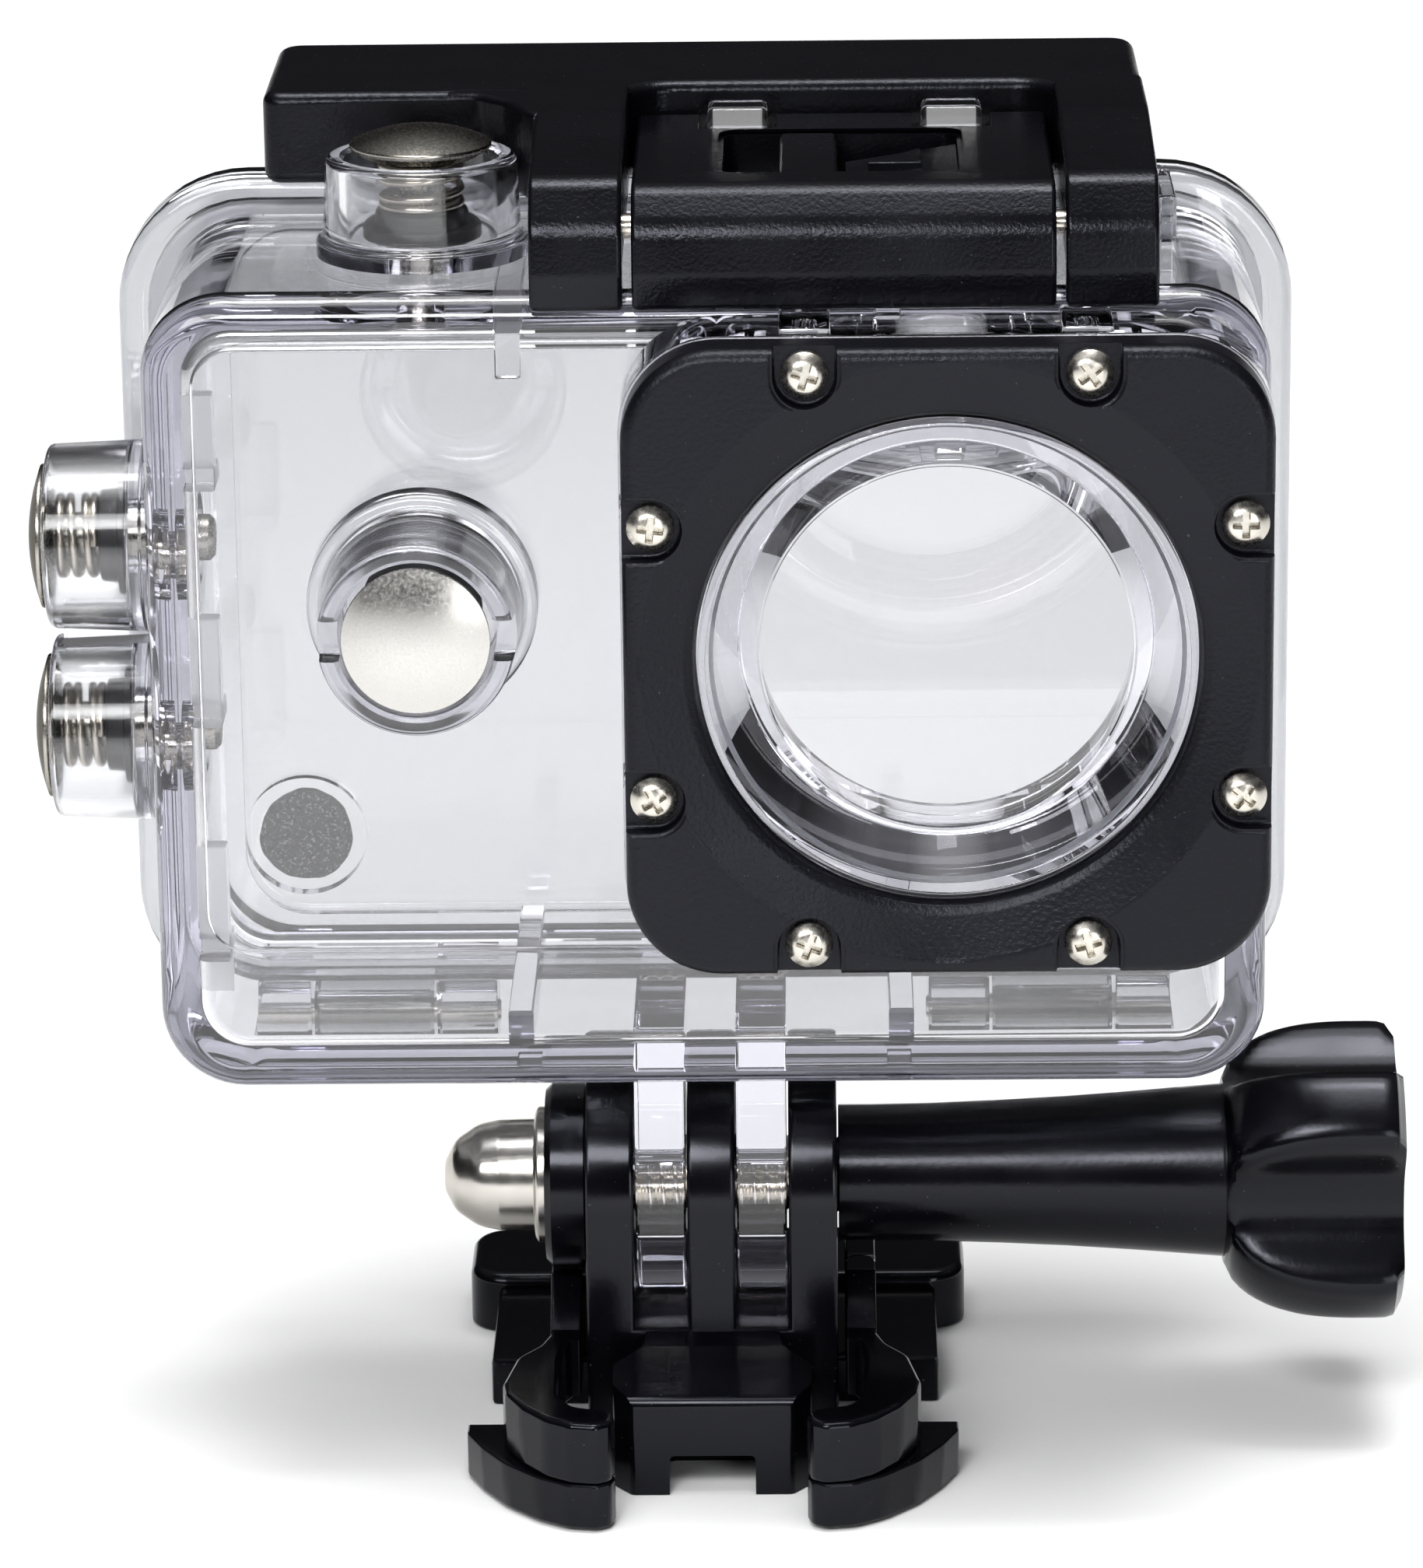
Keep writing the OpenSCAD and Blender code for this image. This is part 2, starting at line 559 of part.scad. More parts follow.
// domed cap with its stem, in one turned piece
module button_cap(b) {
    top = cap_top[b];
    r = cap_d[b] / 2;
    // radius of the sphere that the dome is cut from
    ball = (r * r + dome_h[b] * dome_h[b]) / (2 * dome_h[b]);
    rotate_extrude() {
        polygon([[0, top - cap_t], [r - 0.2, top - cap_t], [r, top - cap_t + 0.2], [r, top], [0, top]]);
        intersection() {
            translate([0, top + dome_h[b] - ball]) circle(ball, $fn = 96);
            translate([0, top - 0.01]) square([r, dome_h[b] + 1]);
        }
    }
    translate([0, 0, -skin[b] - tip_out[b]])
        cylinder(d = stem_d, h = top - cap_t + skin[b] + tip_out[b] + 0.1);
}

// retaining clip on the stem, inside its recess
module button_clip(b) translate([0, 0, -skin[b] + 0.4]) difference() {
    cylinder(d = 4.8, h = 0.55);
    translate([0, 0, -1]) cylinder(d = stem_d, h = 3);
}

// return spring: closed rings spread evenly between seal and cap
module button_spring(b) {
    low = floor_h[b] + seal_h[b];
    high = cap_top[b] - cap_t;
    wire = 0.5;
    turns = 4;
    step = (high - low - wire) / (turns - 1);
    for (i = [0 : turns - 1]) translate([0, 0, low + wire / 2 + i * step])
        rotate_extrude() translate([2.35, 0]) circle(wire / 2, $fn = 24);
}

// rubber seal with a wide foot on the collar's floor
module button_seal(b) translate([0, 0, floor_h[b]]) difference() {
    union() {
        cylinder(d = 7.1, h = 0.8);
        cylinder(d = 5.6, h = seal_h[b]);
    }
    translate([0, 0, -1]) cylinder(d = stem_d + run, h = 6);
}

module steel_part(b) color([0.82, 0.81, 0.78]) at_button(b) children();
module rubber_part(b) color([0.06, 0.06, 0.06]) at_button(b) children();

module shutter_cap() steel_part(SHUTTER) button_cap(SHUTTER);
module shutter_clip() steel_part(SHUTTER) button_clip(SHUTTER);
module shutter_spring() steel_part(SHUTTER) button_spring(SHUTTER);
module shutter_seal() rubber_part(SHUTTER) button_seal(SHUTTER);
module mode_cap() steel_part(MODE) button_cap(MODE);
module mode_clip() steel_part(MODE) button_clip(MODE);
module mode_spring() steel_part(MODE) button_spring(MODE);
module mode_seal() rubber_part(MODE) button_seal(MODE);
module upper_cap() steel_part(UPPER) button_cap(UPPER);
module upper_clip() steel_part(UPPER) button_clip(UPPER);
module upper_spring() steel_part(UPPER) button_spring(UPPER);
module upper_seal() rubber_part(UPPER) button_seal(UPPER);
module lower_cap() steel_part(LOWER) button_cap(LOWER);
module lower_clip() steel_part(LOWER) button_clip(LOWER);
module lower_spring() steel_part(LOWER) button_spring(LOWER);
module lower_seal() rubber_part(LOWER) button_seal(LOWER);

buckle_base();
cap_nut();
left_arm();
right_arm();
thumbscrew_handle();
clamp_bolt();
front_shell();
lens_bezel();
lens_port();
lens_gasket();
bezel_screws();
foam_disc();
door_hinge_pins();
latch_pivot_pin();
back_door();
door_gasket();
latch_lever();
latch_frame();
frame_pin();
lock_slider();
shutter_cap();
shutter_clip();
shutter_spring();
shutter_seal();
mode_cap();
mode_clip();
mode_spring();
mode_seal();
upper_cap();
upper_clip();
upper_spring();
upper_seal();
lower_cap();
lower_clip();
lower_spring();
lower_seal();
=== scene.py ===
"""Looks of a clear waterproof camera housing on its quick-release buckle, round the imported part."""

import math

import bmesh
import bpy
from mathutils import Matrix, Vector


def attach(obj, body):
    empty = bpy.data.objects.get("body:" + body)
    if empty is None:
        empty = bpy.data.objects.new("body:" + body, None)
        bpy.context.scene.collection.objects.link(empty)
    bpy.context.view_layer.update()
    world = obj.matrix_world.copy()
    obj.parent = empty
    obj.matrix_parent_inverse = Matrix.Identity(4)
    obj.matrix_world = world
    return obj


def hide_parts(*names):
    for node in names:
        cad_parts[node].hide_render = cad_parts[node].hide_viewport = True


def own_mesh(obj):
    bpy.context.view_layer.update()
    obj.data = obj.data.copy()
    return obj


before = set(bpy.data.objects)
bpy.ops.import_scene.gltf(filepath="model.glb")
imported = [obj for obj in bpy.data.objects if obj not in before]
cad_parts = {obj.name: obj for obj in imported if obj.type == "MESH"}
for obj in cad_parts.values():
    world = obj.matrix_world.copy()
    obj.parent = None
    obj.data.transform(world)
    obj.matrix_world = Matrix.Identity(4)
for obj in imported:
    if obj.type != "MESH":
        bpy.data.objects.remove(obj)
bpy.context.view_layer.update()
scene = bpy.context.scene
MM = 0.001  # shapes are drawn in millimetres and finished in metres
WELD, DEGENERATE = 0.0008, 0.0005  # mm: points closer than this are joined when a piece is finished
X, Y, Z = Vector((1, 0, 0)), Vector((0, 1, 0)), Vector((0, 0, 1))


# ---------------------------------------------------------------- shapes


def as_object(bm, name="part"):
    """A mesh object from a bmesh, with its faces turned outwards."""
    bmesh.ops.recalc_face_normals(bm, faces=bm.faces[:])
    mesh = bpy.data.meshes.new(name)
    bm.to_mesh(mesh)
    bm.free()
    ob = bpy.data.objects.new(name, mesh)
    scene.collection.objects.link(ob)
    return ob


def outline(points, n=6):
    """Corner points (a, b, radius) as an outline with round corners."""
    out = []
    for i, p in enumerate(points):
        q = Vector(p[:2])
        r = p[2] if len(p) > 2 else 0
        if r == 0:
            out.append((q.x, q.y))
            continue
        before, after = Vector(points[i - 1][:2]), Vector(points[(i + 1) % len(points)][:2])
        u, v = (before - q).normalized(), (after - q).normalized()
        half = u.angle(v) / 2
        if half > math.radians(88):
            out.append((q.x, q.y))
            continue
        t = min(r / math.tan(half), 0.48 * (before - q).length, 0.48 * (after - q).length)
        r = t * math.tan(half)
        c = q + (u + v).normalized() * (r / math.sin(half))
        a0, a1 = (math.atan2(*((q + w * t - c).yx)) for w in (u, v))
        turn = (a1 - a0 + math.pi) % (2 * math.pi) - math.pi
        out += [
            (c.x + r * math.cos(a0 + turn * k / n), c.y + r * math.sin(a0 + turn * k / n))
            for k in range(n + 1)
        ]
    return out


def loft(rings):
    """A closed solid through rings of points, with flat ends."""
    bm = bmesh.new()
    loops = [[bm.verts.new(p) for p in ring] for ring in rings]
    n = len(rings[0])
    for a, b in zip(loops, loops[1:]):
        for i in range(n):
            bm.faces.new((a[i], a[(i + 1) % n], b[(i + 1) % n], b[i]))
    bm.faces.new(loops[0])
    bm.faces.new(loops[-1])
    return as_object(bm)


PLACE = {
    "x": lambda p, t: (t, p[0], p[1]),
    "y": lambda p, t: (p[0], t, p[1]),
    "z": lambda p, t: (p[0], p[1], t),
}


def slab(axis, a0, a1, b0, b1, r, t0, t1, f0=0.3, f1=0.3, n=8, m=4):
    """A rounded rectangle along an axis. A fillet below 0 flares outwards, for a cutter."""

    def ring(inset, t):
        c0, c1, d0, d1 = a0 + inset, a1 - inset, b0 + inset, b1 - inset
        q = max(r - inset, 0.02)
        pts = []
        corners = ((c1 - q, d1 - q), (c0 + q, d1 - q), (c0 + q, d0 + q), (c1 - q, d0 + q))
        for start, (ca, cb) in zip((0, 90, 180, 270), corners):
            for k in range(n + 1):
                w = math.radians(start + 90 * k / n)
                pts.append(PLACE[axis]((ca + q * math.cos(w), cb + q * math.sin(w)), t))
        return pts

    rings = []
    steps = [math.radians(90 * k / m) for k in range(m + 1)]
    if f0:
        for w in steps:
            rings.append(ring(f0 * (1 - math.sin(w)), t0 + abs(f0) * (1 - math.cos(w))))
    else:
        rings.append(ring(0, t0))
    if f1:
        for w in reversed(steps):
            rings.append(ring(f1 * (1 - math.sin(w)), t1 - abs(f1) * (1 - math.cos(w))))
    else:
        rings.append(ring(0, t1))
    return loft(rings)


def prism(points, axis, a, b, bevel=0.25, segments=3):
    """An outline extruded along an axis, with its rims rounded."""
    bm = bmesh.new()
    lo = [bm.verts.new(PLACE[axis](p, a)) for p in points]
    hi = [bm.verts.new(PLACE[axis](p, b)) for p in points]
    n = len(points)
    bm.faces.new(lo)
    bm.faces.new(hi)
    for i in range(n):
        bm.faces.new((lo[i], lo[(i + 1) % n], hi[(i + 1) % n], hi[i]))
    bmesh.ops.recalc_face_normals(bm, faces=bm.faces[:])
    if bevel:
        low, high = set(lo), set(hi)
        rims = [e for e in bm.edges if set(e.verts) <= low or set(e.verts) <= high]
        bmesh.ops.bevel(
            bm, geom=rims, offset=bevel, offset_type="OFFSET", segments=segments,
            profile=0.5, affect="EDGES", clamp_overlap=True,
        )
    return as_object(bm)


def block(lo, hi, bevel=0.2, segments=2):
    """A box between two corners, with every edge rounded."""
    bm = bmesh.new()
    bmesh.ops.create_cube(bm, size=1)
    for v in bm.verts:
        v.co = [l + (h - l) * (c + 0.5) for l, h, c in zip(lo, hi, v.co)]
    if bevel:
        bmesh.ops.bevel(
            bm, geom=bm.edges[:], offset=bevel, offset_type="OFFSET", segments=segments,
            profile=0.5, affect="EDGES", clamp_overlap=True,
        )
    return as_object(bm)


def facing(origin, direction):
    """The matrix that carries local Z to a line from `origin` along `direction`."""
    turn = Vector(direction).to_track_quat("Z", "Y").to_matrix().to_4x4()
    return Matrix.Translation(Vector(origin)) @ turn


def turned(profile, origin, direction, segs=96):
    """A solid of revolution of a profile (radius, height) about a line."""
    m = facing(origin, direction)
    bm = bmesh.new()
    rows = []
    for r, h in profile:
        if r < 1e-6:
            rows.append([bm.verts.new(m @ Vector((0, 0, h)))] * segs)
            continue
        row = []
        for k in range(segs):
            w = 2 * math.pi * k / segs
            row.append(bm.verts.new(m @ Vector((r * math.cos(w), r * math.sin(w), h))))
        rows.append(row)
    for i, a in enumerate(rows):
        b = rows[(i + 1) % len(rows)]
        for k in range(segs):
            face = list(dict.fromkeys((a[k], a[(k + 1) % segs], b[(k + 1) % segs], b[k])))
            if len(face) > 2:
                bm.faces.new(face)
    return as_object(bm)


def rod(d, a, b, at, axis="x", chamfer=0.15, segs=48):
    """A pin along an axis with chamfered ends. `at` is its place in the other two coordinates."""
    r = d / 2
    direction = {"x": X, "y": Y, "z": Z}[axis]
    origin = {"x": (0, *at), "y": (at[0], 0, at[1]), "z": (*at, 0)}[axis]
    ends = [(0, a), (r, a), (r, b), (0, b)]
    if chamfer:
        c = r - chamfer
        ends = [(0, a), (c, a), (r, a + chamfer), (r, b - chamfer), (c, b), (0, b)]
    return turned(ends, origin, direction, segs)


def boolean(base, others, operation):
    """The union, difference or intersection of solids."""
    for other in others:
        mod = base.modifiers.new("combine", "BOOLEAN")
        mod.operation, mod.solver, mod.object = operation, "MANIFOLD", other
    bpy.context.view_layer.update()
    evaluated = base.evaluated_get(bpy.context.evaluated_depsgraph_get())
    mesh = bpy.data.meshes.new_from_object(evaluated)
    base.modifiers.clear()
    base.data = mesh
    for other in others:
        bpy.data.objects.remove(other)
    return base


def union(base, *others):
    return boolean(base, others, "UNION")


def cut(base, *others):
    return boolean(base, others, "DIFFERENCE")


def piece(ob, name, body, replaced, material, angle=28):
    """Finishes a solid in metres: shading, body, CAD nodes, slot and material.

    Edges sharper than `angle` degrees stay sharp.
    """
    bm = bmesh.new()
    bm.from_mesh(ob.data)
    bmesh.ops.remove_doubles(bm, verts=bm.verts, dist=WELD)
    bmesh.ops.dissolve_degenerate(bm, edges=bm.edges, dist=DEGENERATE)
    bm.transform(Matrix.Scale(MM, 4))
    limit = math.radians(angle)
    for f in bm.faces:
        f.smooth = True
    for e in bm.edges:
        e.smooth = len(e.link_faces) == 2 and e.calc_face_angle(0) < limit
    bm.to_mesh(ob.data)
    bm.free()
    ob.name = ob.data.name = name
    ob.data.materials.clear()
    ob.data.materials.append(material)
    mod = ob.modifiers.new("normals", "WEIGHTED_NORMAL")
    mod.keep_sharp, mod.weight = True, 90
    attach(ob, body)
    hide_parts(*replaced)
    return ob


# ---------------------------------------------------------------- materials


class Finish:
    """A procedural material on one Principled shader, drawn in object space."""

    def __init__(self, name, **sockets):
        self.m = bpy.data.materials.new(name)
        self.m.use_nodes = True
        self.t = self.m.node_tree
        self.b = self.t.nodes["Principled BSDF"]
        self.coord = self.t.nodes.new("ShaderNodeTexCoord").outputs["Object"]
        for key, value in sockets.items():
            self.b.inputs[key.replace("_", " ")].default_value = value

    def node(self, kind, **inputs):
        """A node with its inputs linked or set. An underscore stands for a space."""
        n = self.t.nodes.new(kind)
        for key, value in inputs.items():
            socket = n.inputs[key.replace("_", " ")]
            if isinstance(value, bpy.types.NodeSocket):
                self.t.links.new(value, socket)
            else:
                socket.default_value = value
        return n

    def noise(self, scale, detail):
        """Noise in object space, from 0 to 1."""
        n = self.node("ShaderNodeTexNoise", Vector=self.coord, Scale=scale, Detail=detail)
        return n.outputs["Fac"]

    def ramp(self, value, low, high, out_low, out_high):
        """A value carried from one range to another."""
        n = self.node("ShaderNodeMapRange", Value=value)
        ends = {"From Min": low, "From Max": high, "To Min": out_low, "To Max": out_high}
        for socket, v in ends.items():
            n.inputs[socket].default_value = v
        return n.outputs["Result"]

    def inside(self, lo, hi):
        """1 inside a box given in millimetres, else 0."""
        centre = [(a + b) / 2 * MM for a, b in zip(lo, hi)]
        half = [(b - a) / 2 * MM for a, b in zip(lo, hi)]
        value = self.coord
        for operation, amount in (("SUBTRACT", centre), ("ABSOLUTE", None), ("SUBTRACT", half)):
            n = self.t.nodes.new("ShaderNodeVectorMath")
            n.operation = operation
            self.t.links.new(value, n.inputs[0])
            if amount:
                n.inputs[1].default_value = amount
            value = n.outputs["Vector"]
        axes = self.node("ShaderNodeSeparateXYZ", Vector=value).outputs
        deepest = self.math("MAXIMUM", self.math("MAXIMUM", axes[0], axes[1]), axes[2])
        return self.math("LESS_THAN", deepest, 0.0)

    def math(self, operation, *values):
        """One math node over sockets or numbers."""
        n = self.t.nodes.new("ShaderNodeMath")
        n.operation = operation
        for socket, value in zip(n.inputs, values):
            if isinstance(value, bpy.types.NodeSocket):
                self.t.links.new(value, socket)
            else:
                socket.default_value = value
        return n.outputs[0]

    def rough(self, value):
        """Roughness taken from a socket."""
        self.t.links.new(value, self.b.inputs["Roughness"])

    def mix(self, factor, first, second):
        """The first colour where the factor is 0, and the second where it is 1."""
        n = self.t.nodes.new("ShaderNodeMix")
        n.data_type = "RGBA"
        for name, value in (("A", first), ("B", second)):
            socket = next(s for s in n.inputs if s.name == name and s.type == "RGBA")
            if isinstance(value, bpy.types.NodeSocket):
                self.t.links.new(value, socket)
            else:
                socket.default_value = value
        self.t.links.new(factor, n.inputs[0])
        return next(s for s in n.outputs if s.type == "RGBA")

    def colour(self, socket):
        """Base colour taken from a socket."""
        self.t.links.new(socket, self.b.inputs["Base Color"])

    def bump(self, *layers):
        """Height layers, each (value, distance in metres, strength)."""
        normal = None
        for value, distance, strength in layers:
            n = self.node("ShaderNodeBump", Height=value)
            n.inputs["Distance"].default_value = distance
            n.inputs["Strength"].default_value = strength
            if normal:
                self.t.links.new(normal, n.inputs["Normal"])
            normal = n.outputs["Normal"]
        self.t.links.new(normal, self.b.inputs["Normal"])


def black_plastic(name, base, rough, grain, depth, specular):
    """Moulded black plastic: fine grain, faint waviness, uneven gloss and a few specks of dust."""
    f = Finish(name, IOR=1.5, Specular_IOR_Level=specular, Specular_Tint=(0.86, 0.88, 1.0, 1))
    fine, broad = f.noise(grain, 2), f.noise(180, 3)
    specks = f.ramp(f.noise(6500, 0), 0.845, 0.87, 0, 0.12)
    worn = f.mix(broad, (*base, 1), (*[c * 1.5 for c in base], 1))
    f.colour(f.mix(specks, worn, (0.32, 0.31, 0.29, 1)))
    f.rough(f.ramp(broad, 0.3, 0.7, rough - 0.04, rough + 0.06))
    f.bump((fine, depth, 0.6), (broad, 0.00004, 0.25))
    return f.m


def clear_plastic(name, tint, rough=0.012, frosted=()):
    """Clear polycarbonate with a violet cast where it is thick, and a faint moulding flow.

    `frosted` lists boxes as (low corner, high corner, added roughness).
    """
    f = Finish(name, IOR=1.57, Base_Color=(*tint, 1), Transmission_Weight=1.0)
    gloss = f.ramp(f.noise(90, 2), 0.35, 0.7, rough * 0.4, rough * 2)
    for lo, hi, amount in frosted:
        gloss = f.math("ADD", gloss, f.math("MULTIPLY", f.inside(lo, hi), amount))
    f.rough(gloss)
    f.bump((f.noise(55, 1), 0.00003, 0.12))
    out = f.t.nodes["Material Output"]
    volume = f.t.nodes.new("ShaderNodeVolumeAbsorption")
    volume.inputs["Color"].default_value = (0.80, 0.79, 0.87, 1)
    volume.inputs["Density"].default_value = 60.0
    f.t.links.new(volume.outputs["Volume"], out.inputs["Volume"])
    return f.m


def metal(name, base, rough, brush, edge=1.0):
    """Plated or drawn metal, finely brushed. `edge` below 1 darkens it at grazing angles."""
    f = Finish(name, Metallic=1.0, Specular_Tint=(edge, edge * 0.98, edge * 0.94, 1))
    lines, broad = f.noise(brush, 3), f.noise(260, 2)
    f.colour(f.mix(broad, (*[c * 0.9 for c in base], 1), (*base, 1)))
    f.rough(f.ramp(lines, 0.3, 0.7, rough * 0.8, rough * 1.25))
    f.bump((lines, 0.000004, 0.35))
    return f.m


def soft_black(name, base, rough):
    """Dull black rubber with a fine grain."""
    f = Finish(name)
    fine = f.noise(5200, 2)
    f.colour(f.mix(fine, (*base, 1), (*[c * 2.2 for c in base], 1)))
    f.rough(f.ramp(f.noise(500, 2), 0.3, 0.7, rough - 0.08, rough + 0.1))
    f.bump((fine, 0.00002, 0.5))
    return f.m


def foam():
    """Grey closed-cell foam, speckled light and dark."""
    f = Finish("grey_foam")
    cells = f.node("ShaderNodeTexVoronoi", Vector=f.coord, Scale=3200.0).outputs["Distance"]
    speck = f.ramp(f.noise(7000, 1), 0.58, 0.68, 0, 0.75)
    dark = f.mix(cells, (0.035, 0.035, 0.04, 1), (0.015, 0.015, 0.019, 1))
    f.colour(f.mix(speck, dark, (0.2, 0.2, 0.21, 1)))
    f.rough(f.ramp(cells, 0, 0.6, 0.75, 0.95))
    f.bump((cells, 0.00006, 0.8))
    return f.m


def silicone():
    """Pale, half-clear silicone for the seals."""
    f = Finish("pale_rubber", IOR=1.41, Base_Color=(0.86, 0.87, 0.9, 1), Transmission_Weight=0.75)
    f.rough(f.ramp(f.noise(900, 2), 0.3, 0.7, 0.28, 0.42))
    f.bump((f.noise(3000, 2), 0.00001, 0.4))
    return f.m


# side ribs, top guide rib, and the three places where collars stand
FROSTED = [
    ((-30.25, -9.45, 31), (-28.2, -5.7, 69), 0.42),
    ((-12, -9.4, 70.9), (-10.3, 11.3, 71.6), 0.35),
    ((-40, -5.5, 38), (-32.7, 7.5, 63), 0.09),
    ((-24, -21, 48), (-9, -11.6, 63), 0.1),
    ((-24, -7, 73.7), (-9, 8, 80), 0.05),
]

M = {
    "latch": black_plastic("black_latch", (0.0012, 0.0012, 0.0020), 0.25, 4200, 0.00004, 0.19),
    "bezel": black_plastic("black_bezel", (0.0016, 0.0016, 0.0026), 0.34, 3600, 0.00006, 0.2),
    "buckle": black_plastic("black_buckle", (0.0012, 0.0012, 0.0020), 0.16, 2400, 0.000006, 0.22),
    "handle": black_plastic("black_handle", (0.0012, 0.0012, 0.0020), 0.2, 3000, 0.000009, 0.22),
    "rubber": soft_black("black_rubber", (0.009, 0.009, 0.011), 0.5),
    "shell": clear_plastic("clear_shell", (0.87, 0.875, 0.885), frosted=FROSTED),
    # the door's tint is far darker than the shell's: painted shade over the inside of the case seen
    # through it
    "door": clear_plastic("clear_door", (0.575, 0.58, 0.59)),
    "lens": clear_plastic("clear_lens", (0.97, 0.97, 0.98), 0.004),
    "nut": metal("chrome_nut", (0.50, 0.48, 0.445), 0.2, 900),
    "cap": metal("nickel_cap", (0.47, 0.46, 0.44), 0.24, 5200),
    # the same nickel as the mode cap, made darker in colour and at grazing angles: painted shade for
    # the shutter and side caps
    "shaded_cap": metal("nickel_shaded_cap", (0.36, 0.345, 0.31), 0.24, 5200, 0.25),
    "spring": metal("spring_steel", (0.52, 0.48, 0.42), 0.2, 2500),
    "screw": metal("screw_steel", (0.56, 0.535, 0.48), 0.26, 3500),
    "pin": metal("steel_pin", (0.74, 0.70, 0.62), 0.22, 3000),
    "foam": foam(),
    "silicone": silicone(),
}

# ---------------------------------------------------------------- sizes shared by the pieces

LENS_X, LENS_Z = 14.2, 53.7
LENS = (LENS_X, LENS_Z)
TURRET, BEZEL = 18.85, 18.65  # half widths of the shell's square turret and of the bezel
TURRET_FRONT, BEZEL_FRONT = -17.2, -20.5
SCREW_FLOOR = -19.2  # the floor under each screw head
FRONT, FLANGE, MOUTH = -11.5, 11.1, 13.0  # the shell's front face, its rear flange and its open end
LEFT, RIGHT, BOTTOM, TOP = -32.6, 33.2, 25.0, 73.6
WALL = 2.3
RIM = (-35.8, 35.8, 22.8, 75.8, 8)  # outline shared by the flange and the door
HINGE = (13.1, 20.4)  # the door's hinge line, as (y, z)
KNUCKLE = 4.4
HINGE_PIN = (13, 29.5)  # the bore for each hinge pin, outwards from the middle
PAD_X, PAD_Z = -23.6, 40.9  # the round recess with the foam disc
PIVOT_Z = 15.5  # the clamp bolt's line is at y 0
FINGERS = (-3.075, 3.075)
PRONGS = ((-7.65, -4.7), (-1.45, 1.45), (4.7, 7.65))
P1, P2 = (7.0, 78.4), (-9.5, 77.2)  # the lever's pivot and the frame's pin, as (y, z)
LUGS = (2.2, 14.95)
LEGS = ((-9.7, -4.35), (21.15, 26.5))
SIDE = (56.2, 44.35)  # heights of the two side buttons
CAP_DEPTH = 0.95  # from a cap's rim down to where its spring ends
ARM_TOP = 9.5
SCREWS = [
    (-8.1, 17), (8.1, 17), (17, 8.1), (17, -8.1), (8.1, -17), (-8.1, -17), (-17, -8.1), (-17, 8.1)
]
# `h`, `floor`, `seal`, `top` and `dome` are heights outwards from `at`; `skin` and `tip` go inwards
SIDE_BUTTON = dict(
    out=-X, h=6.8, d=11.5, flare=(12, 0.8), bore=9.1, cap=8.7,
    floor=1.6, seal=1.9, top=7.2, dome=0.8, skin=2.3, tip=0.9,
)
BUTTONS = {
    "shutter": dict(
        at=(-16.5, 0.5, TOP), out=Z, h=5.9, d=11.7, flare=(12.6, 1.0), bore=9.1, cap=8.4,
        floor=1.0, seal=1.6, top=6.6, dome=1.0, skin=2.3, tip=0.0,
    ),
    "mode": dict(
        at=(-16.3, FRONT, 55.5), out=-Y, h=9.2, d=11.8, flare=(13.5, 1.8), bore=9.2, cap=8.6,
        floor=1.7, seal=2.4, top=9.1, dome=0.6, skin=2.2, tip=0.0,
    ),
    "upper": dict(at=(LEFT, 1, SIDE[0]), **SIDE_BUTTON),
    "lower": dict(at=(LEFT, 1, SIDE[1]), **SIDE_BUTTON),
}

# ---------------------------------------------------------------- clear shell


def collar(b):
    """The clear collar round a button, with a flared foot."""
    r, f, fh, h = b["d"] / 2, b["flare"][0] / 2, b["flare"][1], b["h"]
    profile = outline(
        [(0, -1), (f, -1), (f, fh, 0.45), (r + 0.05, fh + 0.1, 0.3), (r - 0.2, h, 0.45), (0, h)], 4
    )
    return turned(profile, b["at"], b["out"])


def collar_bore(b):
    """The bore of a collar, the stem's hole through the wall and the room inside for its clip."""
    r, lo, h, s = b["bore"] / 2, b["floor"], b["h"], -b["skin"] - 1
    profile = outline([
        (0, s), (2.8, s), (2.8, s + 2), (1.45, s + 2), (1.45, lo), (r, lo, 0.35), (r, h - 0.25),
        (r + 0.35, h + 0.1), (r + 0.35, h + 3), (0, h + 3),
    ], 4)
    return turned(profile, b["at"], b["out"])


def ring_plate(a, b, y0, y1, f=0.0):
    """A rounded plate less a smaller one. Each is (half width, low, high, radius)."""
    outer = slab("y", -a[0], a[0], a[1], a[2], a[3], y0, y1, f, f)
    return cut(outer, slab("y", -b[0], b[0], b[1], b[2], b[3], y0 - 1, y1 + 1, 0, 0))


def round_bolt(r, degrees):
    """Points (y, z) at a radius round the clamp bolt's line."""
    turns = [math.radians(a) for a in degrees]
    return [(r * math.cos(w), PIVOT_Z + r * math.sin(w)) for w in turns]


def finger(x):
    """One of the two clear fingers that stand between the buckle's prongs."""
    r, half, top = 7, 1.525, BOTTOM + 0.5
    side = [(-r, top), *round_bolt(r, range(180, 361, 5)), (r, top)]
    return prism(side, "x", x - half, x + half, 0.25)


